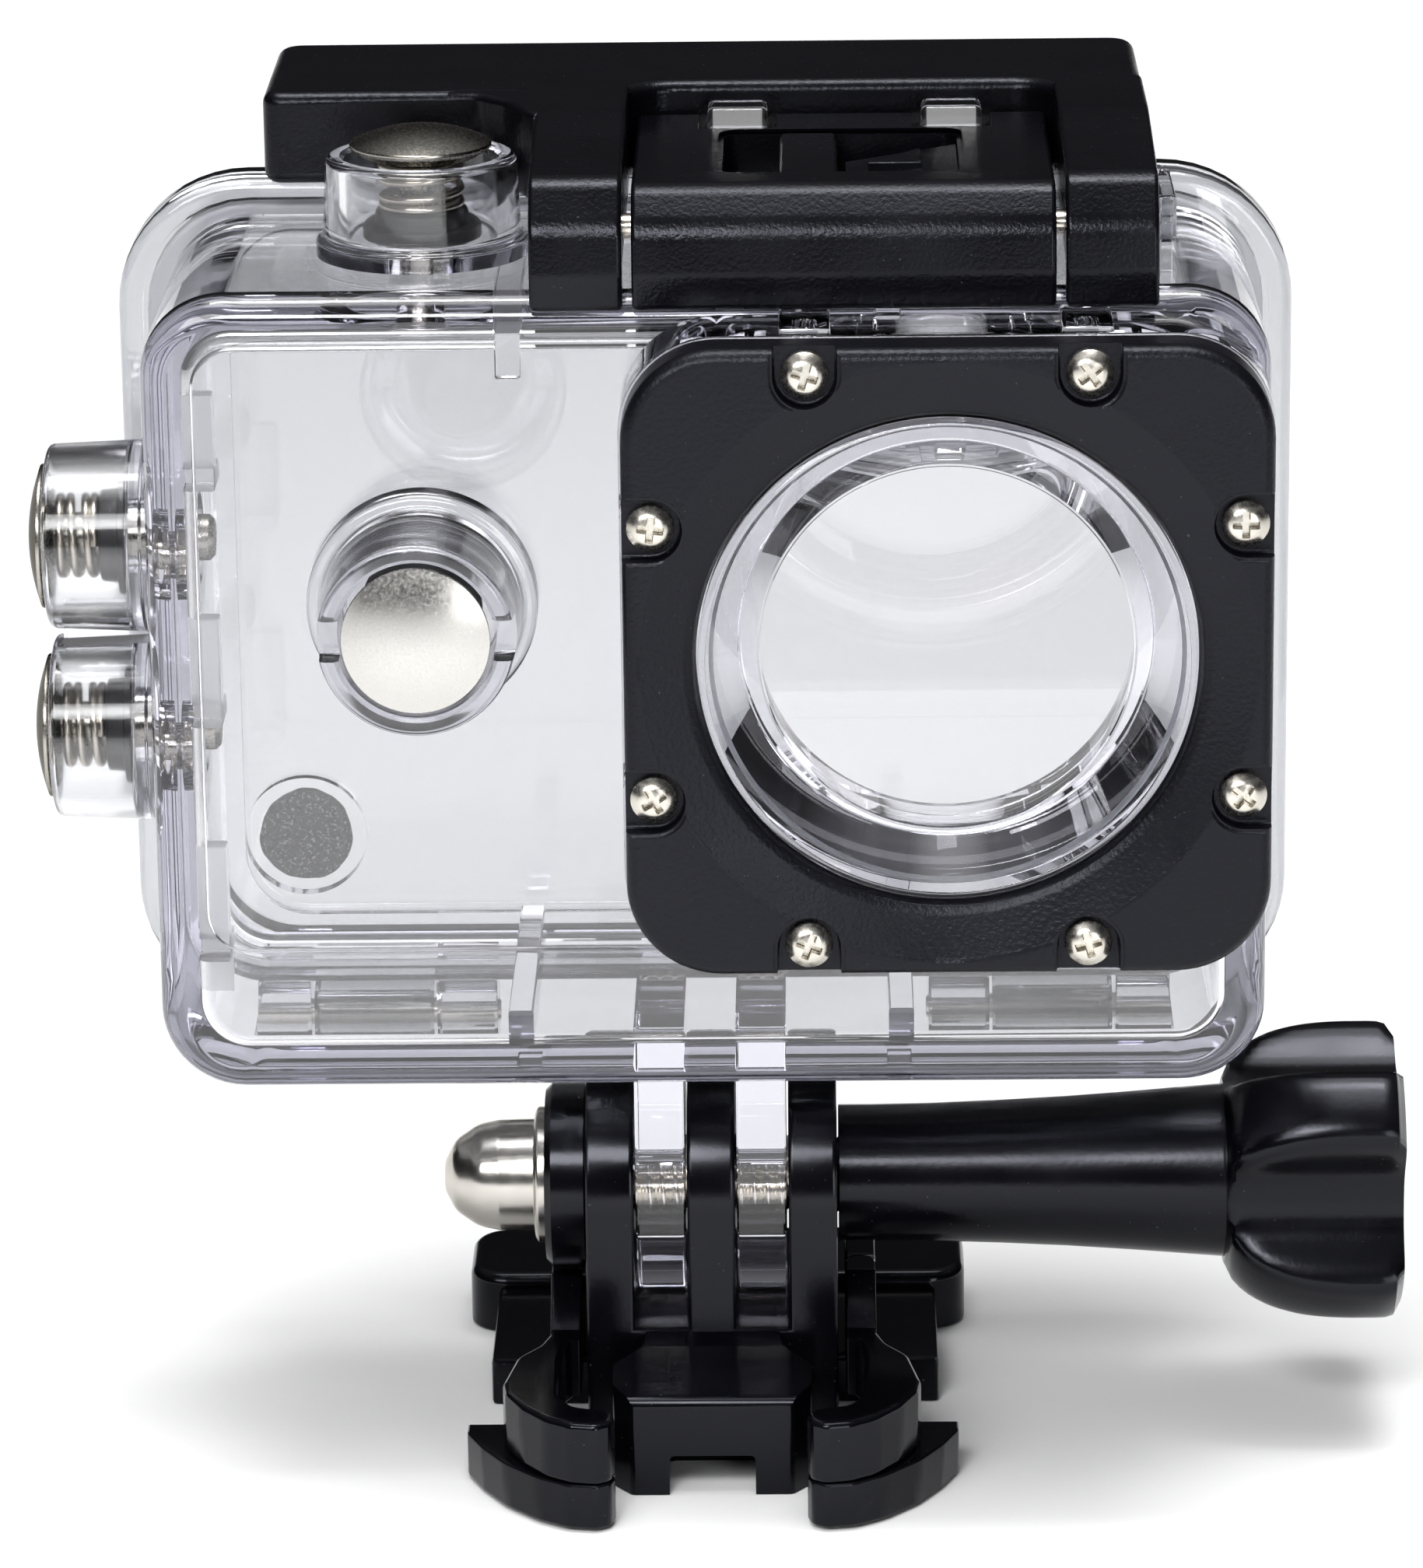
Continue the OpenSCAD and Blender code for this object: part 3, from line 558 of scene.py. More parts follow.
def shell():
    """The clear front shell with its collars, fingers, latch lugs, hinge barrels and ribs."""
    body = slab("y", LEFT, RIGHT, BOTTOM, TOP, 5, FRONT, FLANGE + 0.5, 1.7, 0, n=12, m=8)
    box = (LENS_X - TURRET, LENS_X + TURRET, LENS_Z - TURRET, LENS_Z + BEZEL)
    turret = slab("y", *box, 5.7, TURRET_FRONT, FRONT + 1, 0.5, 0, n=12)
    parts = [slab("y", *RIM, FLANGE, MOUTH, 0.8, 0.25, n=12, m=5), turret]
    for s in (-8.1, 8.1):
        lo = (LENS_X + s - 1.5, -16.6, LENS_Z + 18)
        parts.append(block(lo, (LENS_X + s + 1.5, FRONT + 0.5, LENS_Z + 19.05), 0.25))
    parts += [collar(b) for b in BUTTONS.values()]
    parts.append(block((LEFT - 6, -0.6, SIDE[1]), (LEFT + 0.5, 2.6, SIDE[0]), 0))
    parts += [finger(x) for x in FINGERS]
    for x in LUGS:
        side = outline([
            (5.1, TOP - 0.5), (5.1, 76.4), (4.25, 78.0), (4.5, 79.9, 0.4), (5.6, 81.05, 0.5),
            (7.6, 81.1, 0.6), (8.9, 80.3, 0.5), (8.9, TOP - 0.5),
        ])
        parts.append(prism(side, "x", x - 1.8, x + 1.8, 0.45, 4))
    parts.append(block((27.1, 1, TOP - 0.5), (28.2, 9, 76.4), 0.25))
    for s in (-1, 1):
        for a, b in ((13.5, 17.3), (25.2, 29)):
            lo, hi = sorted((s * a, s * b))
            parts.append(rod(KNUCKLE, lo, hi, HINGE, "x", 0.2))
            parts.append(block((lo, FLANGE, HINGE[1]), (hi, MOUTH, 23), 0))
    body = union(body, *parts)
    room = (LEFT + WALL, RIGHT - WALL, BOTTOM + WALL, TOP - WALL)
    throat = outline([(0, -15.6), (14.6, -15.6), (14.6, -9.4), (15.1, -8.3), (0, -8.3)])
    holes = [
        slab("y", *room, 3, FRONT + 2.2, MOUTH + 1, 0.9, 0, n=10, m=6),
        slab("y", LEFT + 2.9, RIGHT - 2.9, 33.4, 70.4, 2.5, FRONT + 1.7, FRONT + 2.7, 0.3, 0, n=10),
        turned(throat, (LENS_X, 0, LENS_Z), Y, 128),
        rod(33.2, -18.2, -14.6, LENS, "y", 0, 128),
        rod(5, -6, 6, (0, PIVOT_Z), "x", 0),
        rod(1.5, -5, 22, P1, "x", 0),
        rod(7.2, FRONT + 0.7, FRONT + 3.2, (PAD_X, PAD_Z), "y", 0),
        ring_plate((34.4, 24.2, 74.4, 6.8), (32, 26.6, 72, 4.4), MOUTH - 1.2, MOUTH + 1),
    ]
    holes += [rod(1.4, -18.2, -13.2, (LENS_X + a, LENS_Z + c), "y", 0, 24) for a, c in SCREWS]
    holes += [collar_bore(b) for b in BUTTONS.values()]
    mode = BUTTONS["mode"]
    for s in (-1, 1):
        x, rim = mode["at"][0] + s * 5.4, FRONT - mode["h"]  # a notch in each side of its collar
        holes.append(block((x - 2, rim - 2, 54.3), (x + 2, rim + 1.9, 56.7), 0.3))
    for s in (-1, 1):
        lo, hi = sorted(s * end for end in HINGE_PIN)
        holes.append(rod(1.6, lo, hi, HINGE, "x", 0))
    body = cut(body, *holes)
    ribs = []
    for x in (-11.9, 10.8):
        ribs.append(block((x, FRONT + 2, BOTTOM + 2.1), (x + 1.5, FLANGE, 29.6), 0.15))
    for x in (-11.9, 10.2):
        ribs.append(block((x, FRONT + 2, TOP - 2.6), (x + 1.5, FLANGE, TOP - 2.1), 0.1))
        ribs.append(block((x, FRONT + 1.3, 68.4), (x + 1.5, FRONT + 2.6, TOP - 2.1), 0.15))
    for lo, hi in ((61.7, 67.5), (47.3, 54), (32.8, 40)):
        ribs.append(block((LEFT + 2.1, FRONT + 2, lo), (LEFT + 4.2, FRONT + 3.4, hi), 0.15))
        ribs.append(block((LEFT + 2.1, FRONT + 2, lo), (LEFT + 4.2, FRONT + 5.6, lo + 1.2), 0.15))
    return union(body, *ribs)


piece(shell(), "clear_front_shell", "housing", ["front_shell"], M["shell"])


def door():
    """The clear back door with its raised panel, catch and hinge barrels."""
    body = slab("y", *RIM, 13.2, 15.2, 0.25, 0.7, n=12, m=5)
    parts = [
        slab("y", LEFT + 1.6, RIGHT - 1.6, BOTTOM + 1.6, TOP - 1.6, 5, 14, 16.6, 0, 0.8, n=10),
        block((-22, 14, 71.8), (22, 19.4, 75.6), 0.5, 3),
    ]
    holes = []
    for s in (-1, 1):
        lo, hi = sorted((s * 17.5, s * 25))
        parts.append(rod(KNUCKLE, lo, hi, HINGE, "x", 0.2))
        parts.append(block((lo, 13.2, HINGE[1]), (hi, 15.2, 23), 0))
        lo, hi = sorted(s * end for end in HINGE_PIN)
        holes.append(rod(1.7, lo, hi, HINGE, "x", 0))
    holes.append(ring_plate((34.1, 24.5, 74.1, 6.5), (32.3, 26.3, 72.3, 4.7), 12, 14))
    holes.append(
        slab("y", LEFT + 3.4, RIGHT - 3.4, BOTTOM + 3.4, TOP - 3.4, 4, 12, 14.6, 0, 0.4, n=10)
    )
    return cut(union(body, *parts), *holes)


piece(door(), "clear_back_door", "door", ["back_door"], M["door"])
gasket = ring_plate((34.05, 24.55, 74.05, 6.45), (32.35, 26.35, 72.25, 4.75), 12.1, 13.95, 0.3)
piece(gasket, "door_seal", "door", ["door_gasket"], M["silicone"])

# ---------------------------------------------------------------- lens group


def lens_port():
    """The clear window with its bevel and the tube behind it."""
    profile = outline([
        (0, -2.9), (10.8, -2.9), (10.88, -2.78, 0.03), (11.0, -2.78, 0.05), (14.0, 0, 0.12),
        (14.4, -0.25, 0.12), (14.4, -2.2), (16.4, -2.25, 0.15), (16.4, -3.0, 0.15), (14.35, -3.05),
        (14.35, -8.9, 0.15), (11.1, -8.9, 0.15), (11.1, -4.0), (0, -4.0),
    ], 4)
    return turned(profile, (LENS_X, -19.4, LENS_Z), -Y, 160)


piece(lens_port(), "lens_window", "housing", ["lens_port"], M["lens"], 20)
ring = outline([(14.7, 0.02, 0.1), (16.05, 0.02, 0.1), (16.05, 1.7, 0.1), (14.7, 1.7, 0.1)], 3)
lens_seal = turned(ring, (LENS_X, -14.6, LENS_Z), -Y)
piece(lens_seal, "lens_seal", "housing", ["lens_gasket"], M["silicone"])


def notch(x, z, out, r, reach, floor):
    """A recess round a screw at (x, z), open towards the bezel's edge. `out` is (axis, sign)."""
    sideways, s = out
    along, across = (x, z) if sideways else (z, x)
    lo, hi = sorted((along - r * s, along + reach * s))
    box = (lo, hi, across - r, across + r) if sideways else (across - r, across + r, lo, hi)
    return slab("y", *box, r, BEZEL_FRONT - 1, floor, 0, 0.25)


def bezel():
    """The black square bezel: a shallow dish round the lens and a stepped notch at each screw."""
    box = (LENS_X - BEZEL, LENS_X + BEZEL, LENS_Z - BEZEL, LENS_Z + BEZEL)
    body = slab("y", *box, 5.5, BEZEL_FRONT, TURRET_FRONT, 0.8, 0.25, n=14, m=6)
    dish = outline([
        (0, -1), (17.9, -1), (17.9, 0), (17.6, 0.12, 0.3), (15.2, 0.85, 1), (14.75, 1.1, 0.3),
        (14.5, 1.6), (14.5, 4.5), (0, 4.5),
    ], 4)
    holes = [turned(dish, (LENS_X, BEZEL_FRONT, LENS_Z), Y, 160)]
    r, step = 1.85, 0.25
    for a, c in SCREWS:
        sideways = abs(a) > abs(c)
        out = sideways, math.copysign(1, a if sideways else c)
        x, z = LENS_X + a, LENS_Z + c
        holes.append(notch(x, z, out, r, 4, SCREW_FLOOR))
        holes.append(notch(x, z, out, r + step, 5, -20.28))
        holes.append(rod(1.5, -19.5, -17, (x, z), "y", 0, 24))
    return cut(body, *holes)


piece(bezel(), "lens_bezel_plate", "housing", ["lens_bezel"], M["bezel"])


def screws():
    """Eight cross-head screws, each turned by a different amount."""
    profile = outline([
        (0, -5.6), (0.65, -5.6), (0.65, 0), (1.38, 0), (1.38, 0.42, 0.15), (0.85, 0.85, 0.9),
        (0, 0.98),
    ], 5)
    made = []
    for i, (a, c) in enumerate(SCREWS):
        at = (LENS_X + a, SCREW_FLOOR, LENS_Z + c)
        head = turned(profile, at, -Y, 48)
        slots = []
        for k in range(2):
            w = math.radians(17 + 37 * i + 90 * k)
            slot = block((-0.78, -1.6, -0.23), (0.78, -0.2, 0.23), 0.04, 1)
            slot.data.transform(Matrix.Translation(at) @ Matrix.Rotation(w, 4, "Y"))
            slots.append(slot)
        made.append(cut(head, *slots))
    return union(made[0], *made[1:])


piece(screws(), "bezel_cross_screws", "housing", ["bezel_screws"], M["screw"], 24)


def foam_disc():
    """A hand-cut disc of foam, not quite round."""
    sides, rings = 72, []
    for depth, shrink in ((0.72, 0.25), (0.85, 0.06), (1.45, 0.06), (1.58, 0.25)):
        ring = []
        for k in range(sides):
            w = 2 * math.pi * k / sides
            r = 2.78 - shrink - 0.05 * math.sin(3 * w + 0.6)
            r = r - 0.03 * math.sin(7 * w) - 0.015 * math.sin(17 * w + 1)
            ring.append((PAD_X + r * math.cos(w), FRONT + depth, PAD_Z + r * math.sin(w)))
        rings.append(ring)
    return loft(rings)


piece(foam_disc(), "moisture_pad", "housing", ["foam_disc"], M["foam"])

# ---------------------------------------------------------------- buttons


def button_cap(b):
    """A domed cap and its stem in one."""
    r, top, dome = b["cap"] / 2, b["top"], b["dome"]
    ball = (r * r + dome * dome) / (2 * dome)
    crown = []
    for k in range(13):
        q = r * (1 - k / 12)
        crown.append((q, top + dome - ball + math.sqrt(ball * ball - q * q)))
    low = -b["skin"] - b["tip"]
    profile = [
        (0, low), (1.1, low), (1.4, low + 0.3), (1.4, top - CAP_DEPTH), (1.7, top - CAP_DEPTH),
        (1.9, top - 0.75), (r - 0.75, top - 0.75), (r - 0.35, top - 0.42), (r - 0.1, top - 0.36),
        (r, top - 0.2), (r, top - 0.06), (r - 0.03, top + 0.02), *crown[1:],
    ]
    return turned(profile, b["at"], b["out"], 96)


def seal(b):
    """The black rubber seal round a stem."""
    lo, h = b["floor"] + 0.02, b["seal"]
    profile = outline([
        (1.46, lo), (3.55, lo, 0.1), (3.55, lo + 0.75, 0.15), (2.85, lo + 0.8),
        (2.75, lo + h - 0.02, 0.2), (1.46, lo + h - 0.02),
    ], 3)
    return turned(profile, b["at"], b["out"], 72)


def coil(b):
    """A compression spring with closed ends between seal and cap."""
    lo, hi, wire, mean = b["floor"] + b["seal"], b["top"] - CAP_DEPTH, 0.27, 2.32
    m = facing(b["at"], b["out"])
    turns, flat, steps, sides = 3.6, 0.75, 140, 12  # `flat` turns at each end hardly rise
    rings = []
    for i in range(steps + 1):
        s = i / steps
        w = 2 * math.pi * turns * s
        first, last = min(s * turns / flat, 1), max((s * turns - turns + flat) / flat, 0)
        middle = min(max((s * turns - flat) / (turns - 2 * flat), 0), 1)
        rise = 0.06 * first + 0.88 * middle + 0.06 * last
        h = lo + wire + 0.02 + (hi - lo - 2 * wire - 0.04) * rise
        radial, up = Vector((math.cos(w), math.sin(w), 0)), Vector((0, 0, 1))
        centre = radial * mean + up * h
        ring = []
        for k in range(sides):
            v = 2 * math.pi * k / sides
            ring.append(m @ (centre + (radial * math.cos(v) + up * math.sin(v)) * wire))
        rings.append(ring)
    return loft(rings)


def clip(b):
    """A retaining clip on the stem, open on one side."""
    lo, steps, opening = -b["skin"] + 0.4, 40, 50
    points = []
    for r, start, sweep in (
        (2.4, opening / 2, 360 - opening), (1.42, 360 - opening / 2, opening - 360)
    ):
        for k in range(steps + 1):
            w = math.radians(start + sweep * k / steps)
            points.append((r * math.cos(w), r * math.sin(w)))
    ob = prism(points, "z", lo, lo + 0.55, 0.08, 2)
    ob.data.transform(facing(b["at"], b["out"]))
    return ob


for name, b in BUTTONS.items():
    body = name + "_button"
    # the shutter and side caps take the darker nickel, which is painted shade
    nickel = M["cap" if name == "mode" else "shaded_cap"]
    piece(button_cap(b), name + "_domed_cap", body, [name + "_cap"], nickel, 35)
    piece(clip(b), name + "_stem_clip", body, [name + "_clip"], M["pin"])
    piece(seal(b), name + "_stem_seal", "housing", [name + "_seal"], M["rubber"])
    spring = coil(b)
    piece(
        spring, name + "_coil_spring", "housing", [name + "_spring"], M["spring"],
        60,
    )
    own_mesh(spring)

# ---------------------------------------------------------------- latch


def latch_front(top):
    """The curved front of the lever and the frame's legs, from the top ridge to the lower edge."""
    return [
        (-11.6, top, 1.7), (-13.45, 77.9, 3), (-13.7, 75.2, 2), (-13.35, 73.0, 0.5),
        (-12.1, 73.0, 0.4),
    ]


def lever():
    """The latch's flap, with a recess for the lock slider, slots for the lugs and a wedge mark."""
    side = outline([
        (8.4, 80.1, 0.6), *latch_front(80.1), (-12, 75.4, 0.3), (8.7, 76.8, 0.4), (8.7, 79.6, 0.4)
    ], 7)
    body = prism(side, "x", -3.8, 20.6, 0.85, 5)
    body = cut(body, block((-2.4, -7.2, 72), (19.2, 5, 78.4), 0.3))
    body = union(body, block((0.3, -7.3, 76.2), (16, 4.6, 78.5), 0.1))
    holes = [
        slab("z", 1.4, 15.2, -8.2, 3.4, 0.9, 77, 82, 0, 0, n=5),
        slab("z", 1.1, 15.5, -8.5, 3.7, 1.2, 79.8, 82, -0.3, 0, n=5),
        block((2.1, -3.1, 75), (7.6, -0.9, 78), 0.1),
    ]
    for x in LUGS:
        holes.append(slab("x", 4.1, 12, 72, 84, 0.3, x - 2.35, x + 2.35, 0, 0))
    holes.append(rod(1.6, -3.3, 20.1, P1, "x", 0))
    holes.append(rod(1.6, -5.3, 22.1, P2, "x", 0))
    body = cut(body, *holes)
    ramp = []
    for x, top in ((8.6, 78.5), (15.1, 79.5)):
        side = [
            (-8.3, 77.0), (-8.3, top - 0.3), (-8.05, top - 0.1), (1.2, top + 0.1), (1.6, top - 0.1),
            (3.45, top - 0.9), (3.45, 77.0),
        ]
        ramp.append([(x, *p) for p in side])
    mark = prism(outline([(9.9, -3.4), (13.0, 0.75), (13.0, -3.4)], 3), "z", 77.5, 79.55, 0.12)
    return union(body, loft(ramp), mark)


piece(lever(), "latch_lever_cover", "latch_lever", ["latch_lever"], M["latch"])


def slider():
    """The lock slider and the tongue below it."""
    body = block((4.7, -8.0, 77.1), (8.1, 3.2, 80.0), 0.35, 3)
    return union(body, block((5.4, -2.9, 75.2), (7.4, -1.1, 77.4), 0.15))


piece(slider(), "lock_slider_block", "lock_slider", ["lock_slider"], M["latch"])


def latch_frame():
    """The latch's U-shaped bar with its two legs, hollow underneath."""
    plan = outline([
        (-26.3, 22.5, 1.6), (-26.3, 6.8, 1.1), (-9.7, 6.8, 3.2), (-9.7, 2.2), (-4.35, 2.2),
        (-4.35, 9.4, 2.6), (21.15, 9.4, 2.6), (21.15, 2.2), (26.5, 2.2), (26.5, 22.5, 1.6),
    ], 6)
    body = prism(plan, "z", 76.3, 81.9, 0.75, 5)
    legs = []
    for a, b in LEGS:
        side = outline(
            [(10, 76.4), (10, 81.9), (1.2, 81.9, 12), *latch_front(80.5), (-11.9, 75.3, 0.3)], 7
        )
        legs.append(prism(side, "x", a, b, 0.75, 5))
    corner = outline([
        (-15.5, 7.6), (-15.2, 6.85), (-13.3, 6.3, 1.5), (-11.6, 4.4, 2), (-10.5, 1.7, 2),
        (-9.8, 0.5), (-8, 0.5), (-8, 9),
    ], 4)
    body = union(body, *legs, prism(corner, "z", 76.4, 81.86, 0.75, 5))
    holes = [
        block((-24.4, 10.8, 75), (24.4, 20.4, 80), 0.5),
        rod(1.5, -8.3, 25.1, P2, "x", 0),
    ]
    return cut(body, *holes)


piece(latch_frame(), "latch_frame_bar", "latch_frame", ["latch_frame"], M["latch"])
pin = rod(1.5, -8.25, 25.05, P2, "x", 0.2)
piece(pin, "frame_steel_pin", "latch_frame", ["frame_pin"], M["pin"])
pin = rod(1.48, -2.6, 19.4, P1, "x", 0.2)
piece(pin, "lever_steel_pin", "housing", ["latch_pivot_pin"], M["pin"])
pins = [rod(1.58, *sorted((s * 13.35, s * 29.15)), HINGE, "x", 0.2) for s in (-1, 1)]
piece(union(*pins), "hinge_steel_pins", "housing", ["door_hinge_pins"], M["pin"])

# ---------------------------------------------------------------- buckle


def prong_side(r, grow=0.0):
    """The side view of a prong: an arch that is wider at the back of its foot."""
    return [(9 + grow, 3), *round_bolt(r, range(0, 181, 5)), (-r, 3)]


def buckle():
    """The buckle's base with its rails, three prongs, nut boss and nose."""
    body = block((-7.65, -7.5, 0), (7.65, 9, 8.2), 0.3)
    parts = [
        slab("z", -15.8, 15.8, 13, 22, 2.4, 0, 3.9, 0.25, 0.7),
        block((-13.9, 0.7, 0), (13.9, 14.5, 3), 0.25),
        rod(11.4, -10.2, -7.4, (0, PIVOT_Z), "x", 0.4),
        prism(prong_side(7.54, 0.04), "x", -0.07, 0.07, 0),
    ]
    for a, b in PRONGS:
        parts.append(prism(prong_side(7.5), "x", a, b, 0.3))
    plan = outline([
        (-6, -12.4, 0.7), (-4.85, -14, 0.5), (4.85, -14, 0.5), (6, -12.4, 0.7), (6, -10.4, 0.6),
        (4.2, -8.6, 1.2), (4.0, -7), (-4.0, -7), (-4.2, -8.6, 1.2), (-6, -10.4, 0.6),
    ])
    nose = prism(plan, "z", -1, 10, 0)
    side = outline([
        (-14.0, 0.0), (-14.0, 6.1, 0.75), (-11.0, 6.85, 0.6), (-8.6, 7.5, 1.0), (-7, 8.2),
        (-7, 0.0),
    ])
    nose = boolean(nose, [prism(side, "x", -8, 8, 0)], "INTERSECT")
    parts.append(nose)
    for s in (-1, 1):
        lo, hi = sorted((s * 8.1, s * 10))
        parts.append(block((lo, 1.6, 2.5), (hi, 8.5, ARM_TOP), 0.25))
        plan = [(s * 7.6, 1.0), (s * 8.6, 2.2), (s * 8.6, 8.2), (s * 7.6, 8.6)]
        parts.append(prism(outline(plan[::s], 1), "z", 0.5, 3.1, 0))
    body = union(body, *parts)
    hexagon = round_bolt(4.45, range(0, 360, 60))
    return cut(
        body,
        rod(5, -11.2, 8.65, (0, PIVOT_Z), "x", 0),
        prism(hexagon, "x", -11.2, -7.9, 0),
        block((-2.6, -15, -1), (2.6, -8.6, 2.5), 0.3),
        block((-10.5, 11, -1), (10.5, 19.5, 1.6), 0.4),
    )


piece(buckle(), "buckle_body", "buckle", ["buckle_base"], M["buckle"])


def arm(s):
    """A squeeze arm with its crescent tip. `s` is 1 for the right one and -1 for the left one."""
    low = outline([
        (14.9, -9.8), (14.9, -11.2, 1.5), (13.9, -13.6, 4), (12.4, -16.2, 5), (10.4, -18.4, 4),
        (8.6, -19.6, 2), (6.8, -19.9, 0.8), (6, -19.4, 0.8), (5.7, -18.4, 0.8), (6, -17.4, 0.8),
        (8.4, -16.9, 1.5), (9.4, -15.6, 1.5), (9.6, -9.8),
    ])
    high = outline([
        (12.6, -12.8, 0.8), (12.4, -14.4, 1.5), (11.4, -16.6, 4), (9.9, -18.6, 3),
        (8.4, -19.6, 1.5), (6.8, -19.9, 0.8), (6, -19.4, 0.8), (5.7, -18.4, 0.8), (6, -17.4, 0.8),
        (8.2, -16.6, 1.2), (9.1, -15, 1.5), (9.2, -9, 6), (9, -6.8, 3), (8.1, -4.5), (10, -4.5),
        (10.6, -6.6, 2), (11.9, -8.6, 2),
    ])
    root = outline(
        [(-6, 3.2), (-6, 6.9), (-4.4, 6.95), (-1.2, ARM_TOP, 1.0), (0.5, ARM_TOP), (0.5, 3.2)], 4
    )
    body = union(
        prism(low, "z", 0.2, 3, 0.22),
        prism(high, "z", 2.95, 6.9, 0.4, 4),
        prism(root, "x", 8.1, 10, 0.18),
        rod(1.9, 3.2, ARM_TOP, (9.05, 0.5), "z", 0.1),
    )
    if s < 0:
        body.data.transform(Matrix.Scale(-1, 4, X))
        body.data.flip_normals()
    return body


piece(arm(1), "right_squeeze_arm", "right_arm", ["right_arm"], M["buckle"])
piece(arm(-1), "left_squeeze_arm", "left_arm", ["left_arm"], M["buckle"])


def nut():
    """The acorn nut with its hexagon in the buckle's boss."""
    profile = outline([
        (2.52, 0.9), (3.75, 0.9), (4.2, 0.2), (4.2, -0.5, 0.2), (3.9, -0.68, 0.1),
        (3.45, -0.7, 0.05), (3.4, -2.9, 1.2), (3.15, -4.2, 2.2), (2.2, -5.6, 1.6),
        (0.9, -6.26, 1.0), (0, -6.28), (0, -2.8), (2.52, -2.8),
    ], 6)
    foot = (-10.2, 0, PIVOT_Z)
    body = turned(profile, foot, X)
    hexagon = round_bolt(4.3, range(0, 360, 60))
    cone = turned([(2.52, -0.1), (3.95, -0.1), (4.35, 0.4), (4.35, 2.2), (2.52, 2.2)], foot, X)
    ring = boolean(prism(hexagon, "x", -10.3, -8.05, 0), [cone], "INTERSECT")
    return union(body, ring)


piece(nut(), "acorn_nut", "buckle", ["cap_nut"], M["nut"])


def bolt():
    """The clamp bolt: its thread is a real helix where the clear fingers show it."""
    a, end, b, pitch, sides = -12.55, 8.5, 23.6, 0.8, 48  # threaded up to `end`, plain up to `b`
    radius, depth, tip = 2.44, 0.42, 2.1
    steps = int((end - a) / (pitch / 8))
    stations = [a + (end - a) * i / steps for i in range(steps + 1)] + [b]
    rings = []
    for i, x in enumerate(stations):
        fade = min(1.0, (x - a) / pitch, max(0.0, (end - 0.1 - x) / pitch))
        ring = []
        for k in range(sides):
            w = 2 * math.pi * k / sides
            phase = ((x - a) / pitch - k / sides) % 1
            tooth = min(1.0, max(0.0, abs(phase - 0.5) * 2.6 - 0.25))
            r = tip if i == 0 else radius - depth * tooth * fade
            ring.append((x, r * math.cos(w), PIVOT_Z + r * math.sin(w)))
        rings.append(ring)
    return loft(rings)


piece(bolt(), "threaded_bolt", "thumbscrew", ["clamp_bolt"], M["pin"], 60)


def handle():
    """The thumbscrew's tapered stalk and its four-lobed head."""
    stalk = outline([
        (2.46, 0), (4.14, 0), (4.2, 0.06), (4.2, 2), (4.25, 6), (4.4, 10), (4.6, 14), (4.87, 18),
        (5.15, 21.5), (5.3, 23.4, 0.2), (5.3, 27.5), (0, 27.5), (0, 16), (2.46, 16),
    ], 3)
    body = turned(stalk, (7.75, 0, PIVOT_Z), X, 96)
    sides, steps, rings = 144, 22, []
    start, end, full, rim = 31.35, 42.05, 39.4, 1.3  # the head swells as far as `full`
    spread = 0.35  # softens the meeting of the lobes and the swelling
    for i in range(steps + 1):
        x = start + 10.7 * (i / steps)
        envelope = 9.6
        if x < full:
            envelope = 5.2 + 4.4 * math.sqrt(max(0.0, 1 - ((full - x) / 8.1) ** 2))
        edge = end - x
        if edge < rim:
            envelope -= rim - math.sqrt(max(0.0, rim**2 - (rim - edge) ** 2))
        ring = []
        for k in range(sides):
            w = 2 * math.pi * k / sides
            away = math.degrees(w) % 90 - 45
            lobe = 5.75 + 4.1 / (1 + (abs(away) / 21.0) ** 5)
            r = -spread * math.log(math.exp(-lobe / spread) + math.exp(-envelope / spread))
            ring.append((x, -r * math.sin(w), PIVOT_Z + r * math.cos(w)))
        rings.append(ring)
    return union(body, loft(rings))


piece(
    handle(), "thumbscrew_grip", "thumbscrew", ["thumbscrew_handle"], M["handle"],
    40,
)

# ---------------------------------------------------------------- floor, light, camera

bm = bmesh.new()
bmesh.ops.create_grid(bm, x_segments=4, y_segments=4, size=6.0)
floor = as_object(bm, "studio_floor")
floor_finish = Finish("studio_floor", Base_Color=(0.9, 0.9, 0.9, 1))
floor_finish.rough(floor_finish.ramp(floor_finish.noise(3, 2), 0.3, 0.7, 0.75, 0.85))
floor.data.materials.append(floor_finish.m)
floor.location.z = -0.00005

world = bpy.data.worlds.new("studio")
scene.world = world
world.use_nodes = True
t = world.node_tree
background = t.nodes["Background"]
direction = t.nodes.new("ShaderNodeTexCoord").outputs["Generated"]
split = t.nodes.new("ShaderNodeSeparateXYZ")
t.links.new(direction, split.inputs[0])
height = t.nodes.new("ShaderNodeValToRGB")
t.links.new(split.outputs["Z"], height.inputs["Fac"])
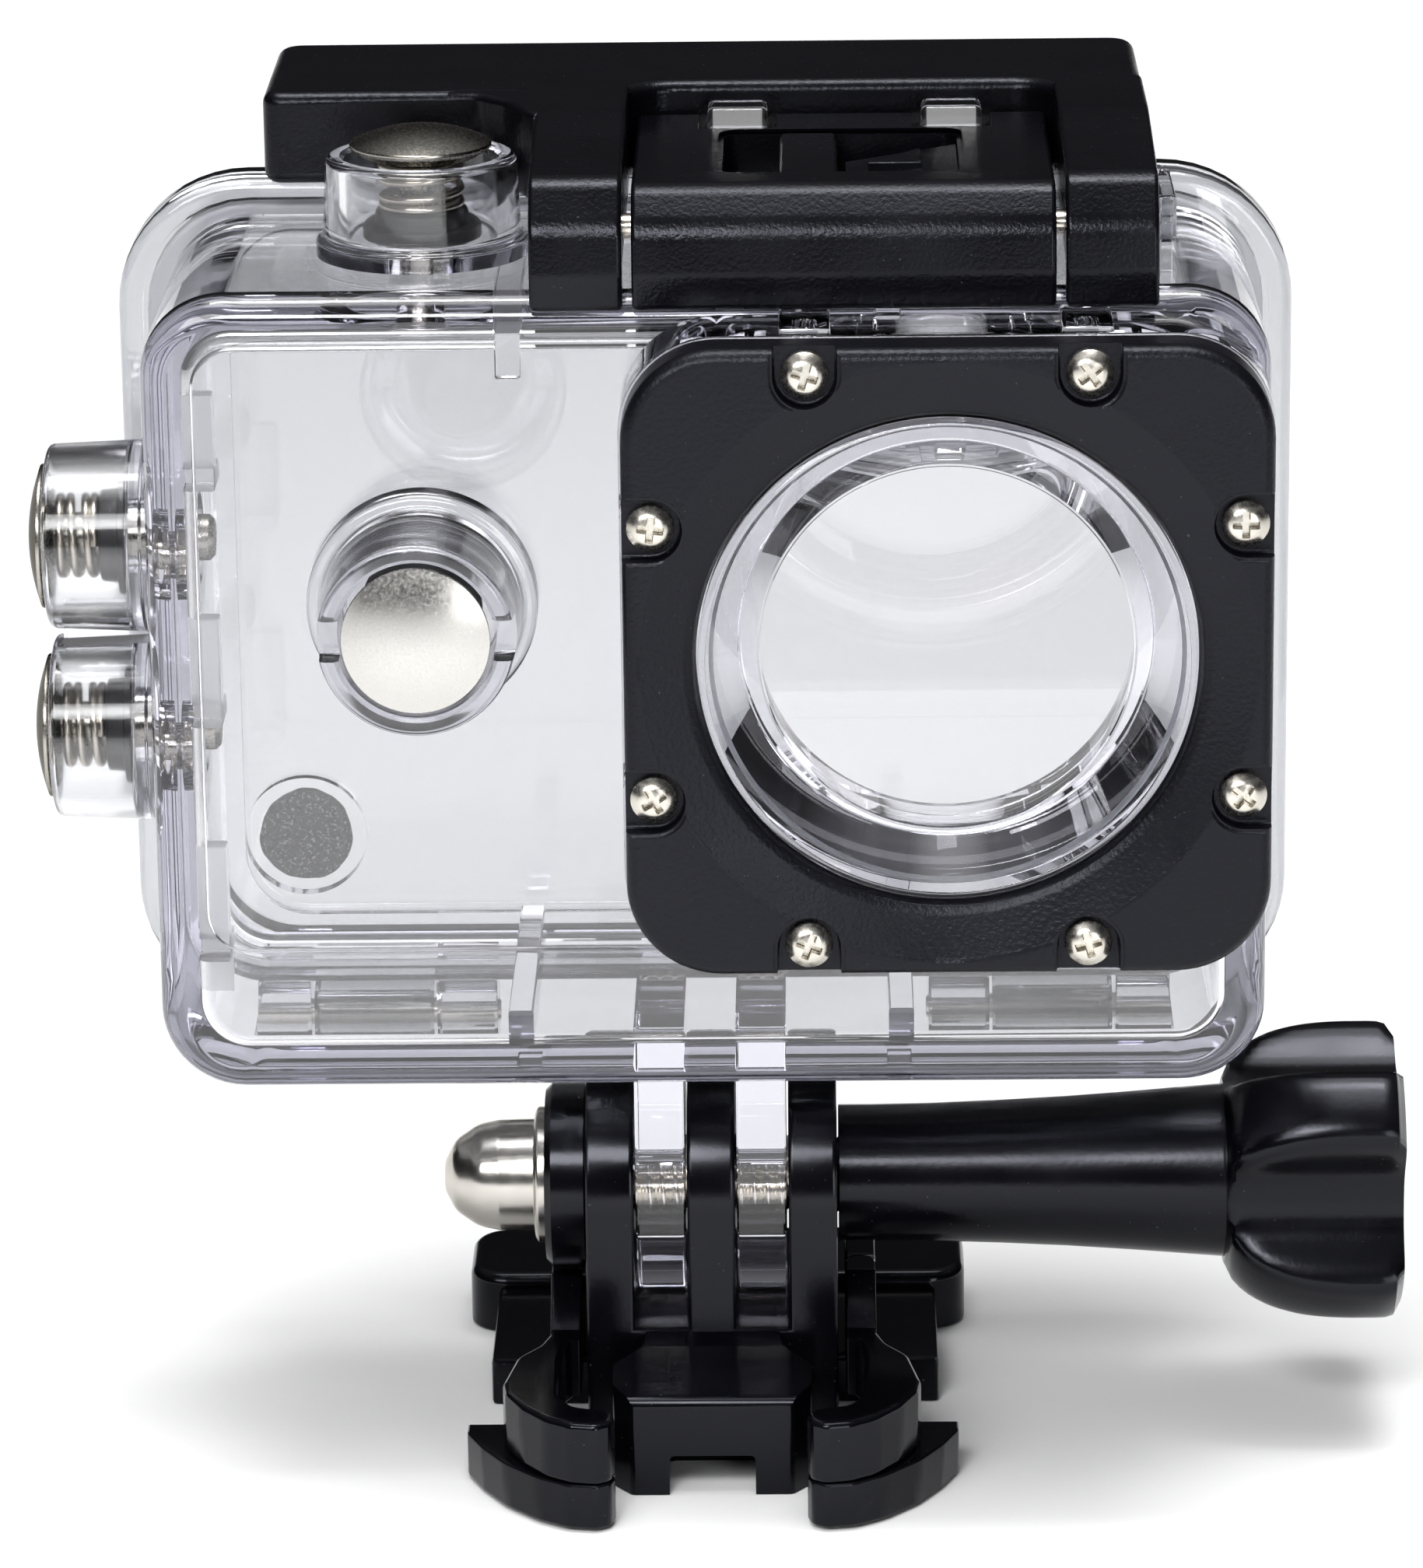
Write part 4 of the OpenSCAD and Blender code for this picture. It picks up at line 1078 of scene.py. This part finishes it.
# dark round the horizon and bright overhead, so that the black parts stay black
below, above = height.color_ramp.elements
below.position, below.color = 0.4, (0.005, 0.005, 0.0055, 1)
above.position, above.color = 0.965, (1, 1, 1, 1)
middle = height.color_ramp.elements.new(0.9)
middle.color = (0.055, 0.055, 0.057, 1)
t.links.new(height.outputs["Color"], background.inputs["Color"])
background.inputs["Strength"].default_value = 5.5


def softbox(name, place, target, size, power):
    """A rectangular area lamp at `place`, aimed at `target`."""
    lamp = bpy.data.lights.new(name, "AREA")
    lamp.shape, lamp.size, lamp.size_y, lamp.energy = "RECTANGLE", *size, power
    ob = bpy.data.objects.new(name, lamp)
    ob.location = place
    ob.rotation_euler = (Vector(target) - Vector(place)).to_track_quat("-Z", "Y").to_euler()
    scene.collection.objects.link(ob)


softbox("front_fill", (-0.35, -0.75, 0.55), (0, 0, 0.05), (0.5, 0.3), 3.5)
softbox("low_right", (0.36, -0.9, 0.16), (0, 0, 0.05), (0.3, 0.4), 2.0)
softbox("near_pool", (-0.02, -0.17, 0.15), (-0.01, -0.155, 0), (0.08, 0.06), 0.28)
softbox("top_strip", (0.0, -0.02, 0.9), (0, 0, 0), (0.5, 0.14), 3.6)

# the camera fitted to the photo: FOCAL is in the units of PICTURE_HEIGHT
SENSOR, FOCAL, PICTURE_HEIGHT = 36.0, 9201.5, 2016
camera = bpy.data.cameras.new("camera")
camera.sensor_width, camera.lens = SENSOR, SENSOR * FOCAL / PICTURE_HEIGHT
camera.clip_start, camera.clip_end = 0.05, 20
view = bpy.data.objects.new("camera", camera)
scene.collection.objects.link(view)
place, target = Vector((6.6255, -414.70, 166.811)) * MM, Vector((0.234, 0, 40.556)) * MM
roll = math.radians(-0.718)
forward = (target - place).normalized()
right = forward.cross(Z).normalized()
up = right.cross(forward)
across = right * math.cos(roll) + up * math.sin(roll)
upright = up * math.cos(roll) - right * math.sin(roll)
rotation = Matrix((across, upright, -forward)).transposed().to_4x4()
view.matrix_world = Matrix.Translation(place) @ rotation
scene.camera = view

scene.view_settings.view_transform = "Standard"
scene.cycles.max_bounces = 24
scene.cycles.transmission_bounces = 20
scene.cycles.glossy_bounces = 8
scene.cycles.use_denoising = True
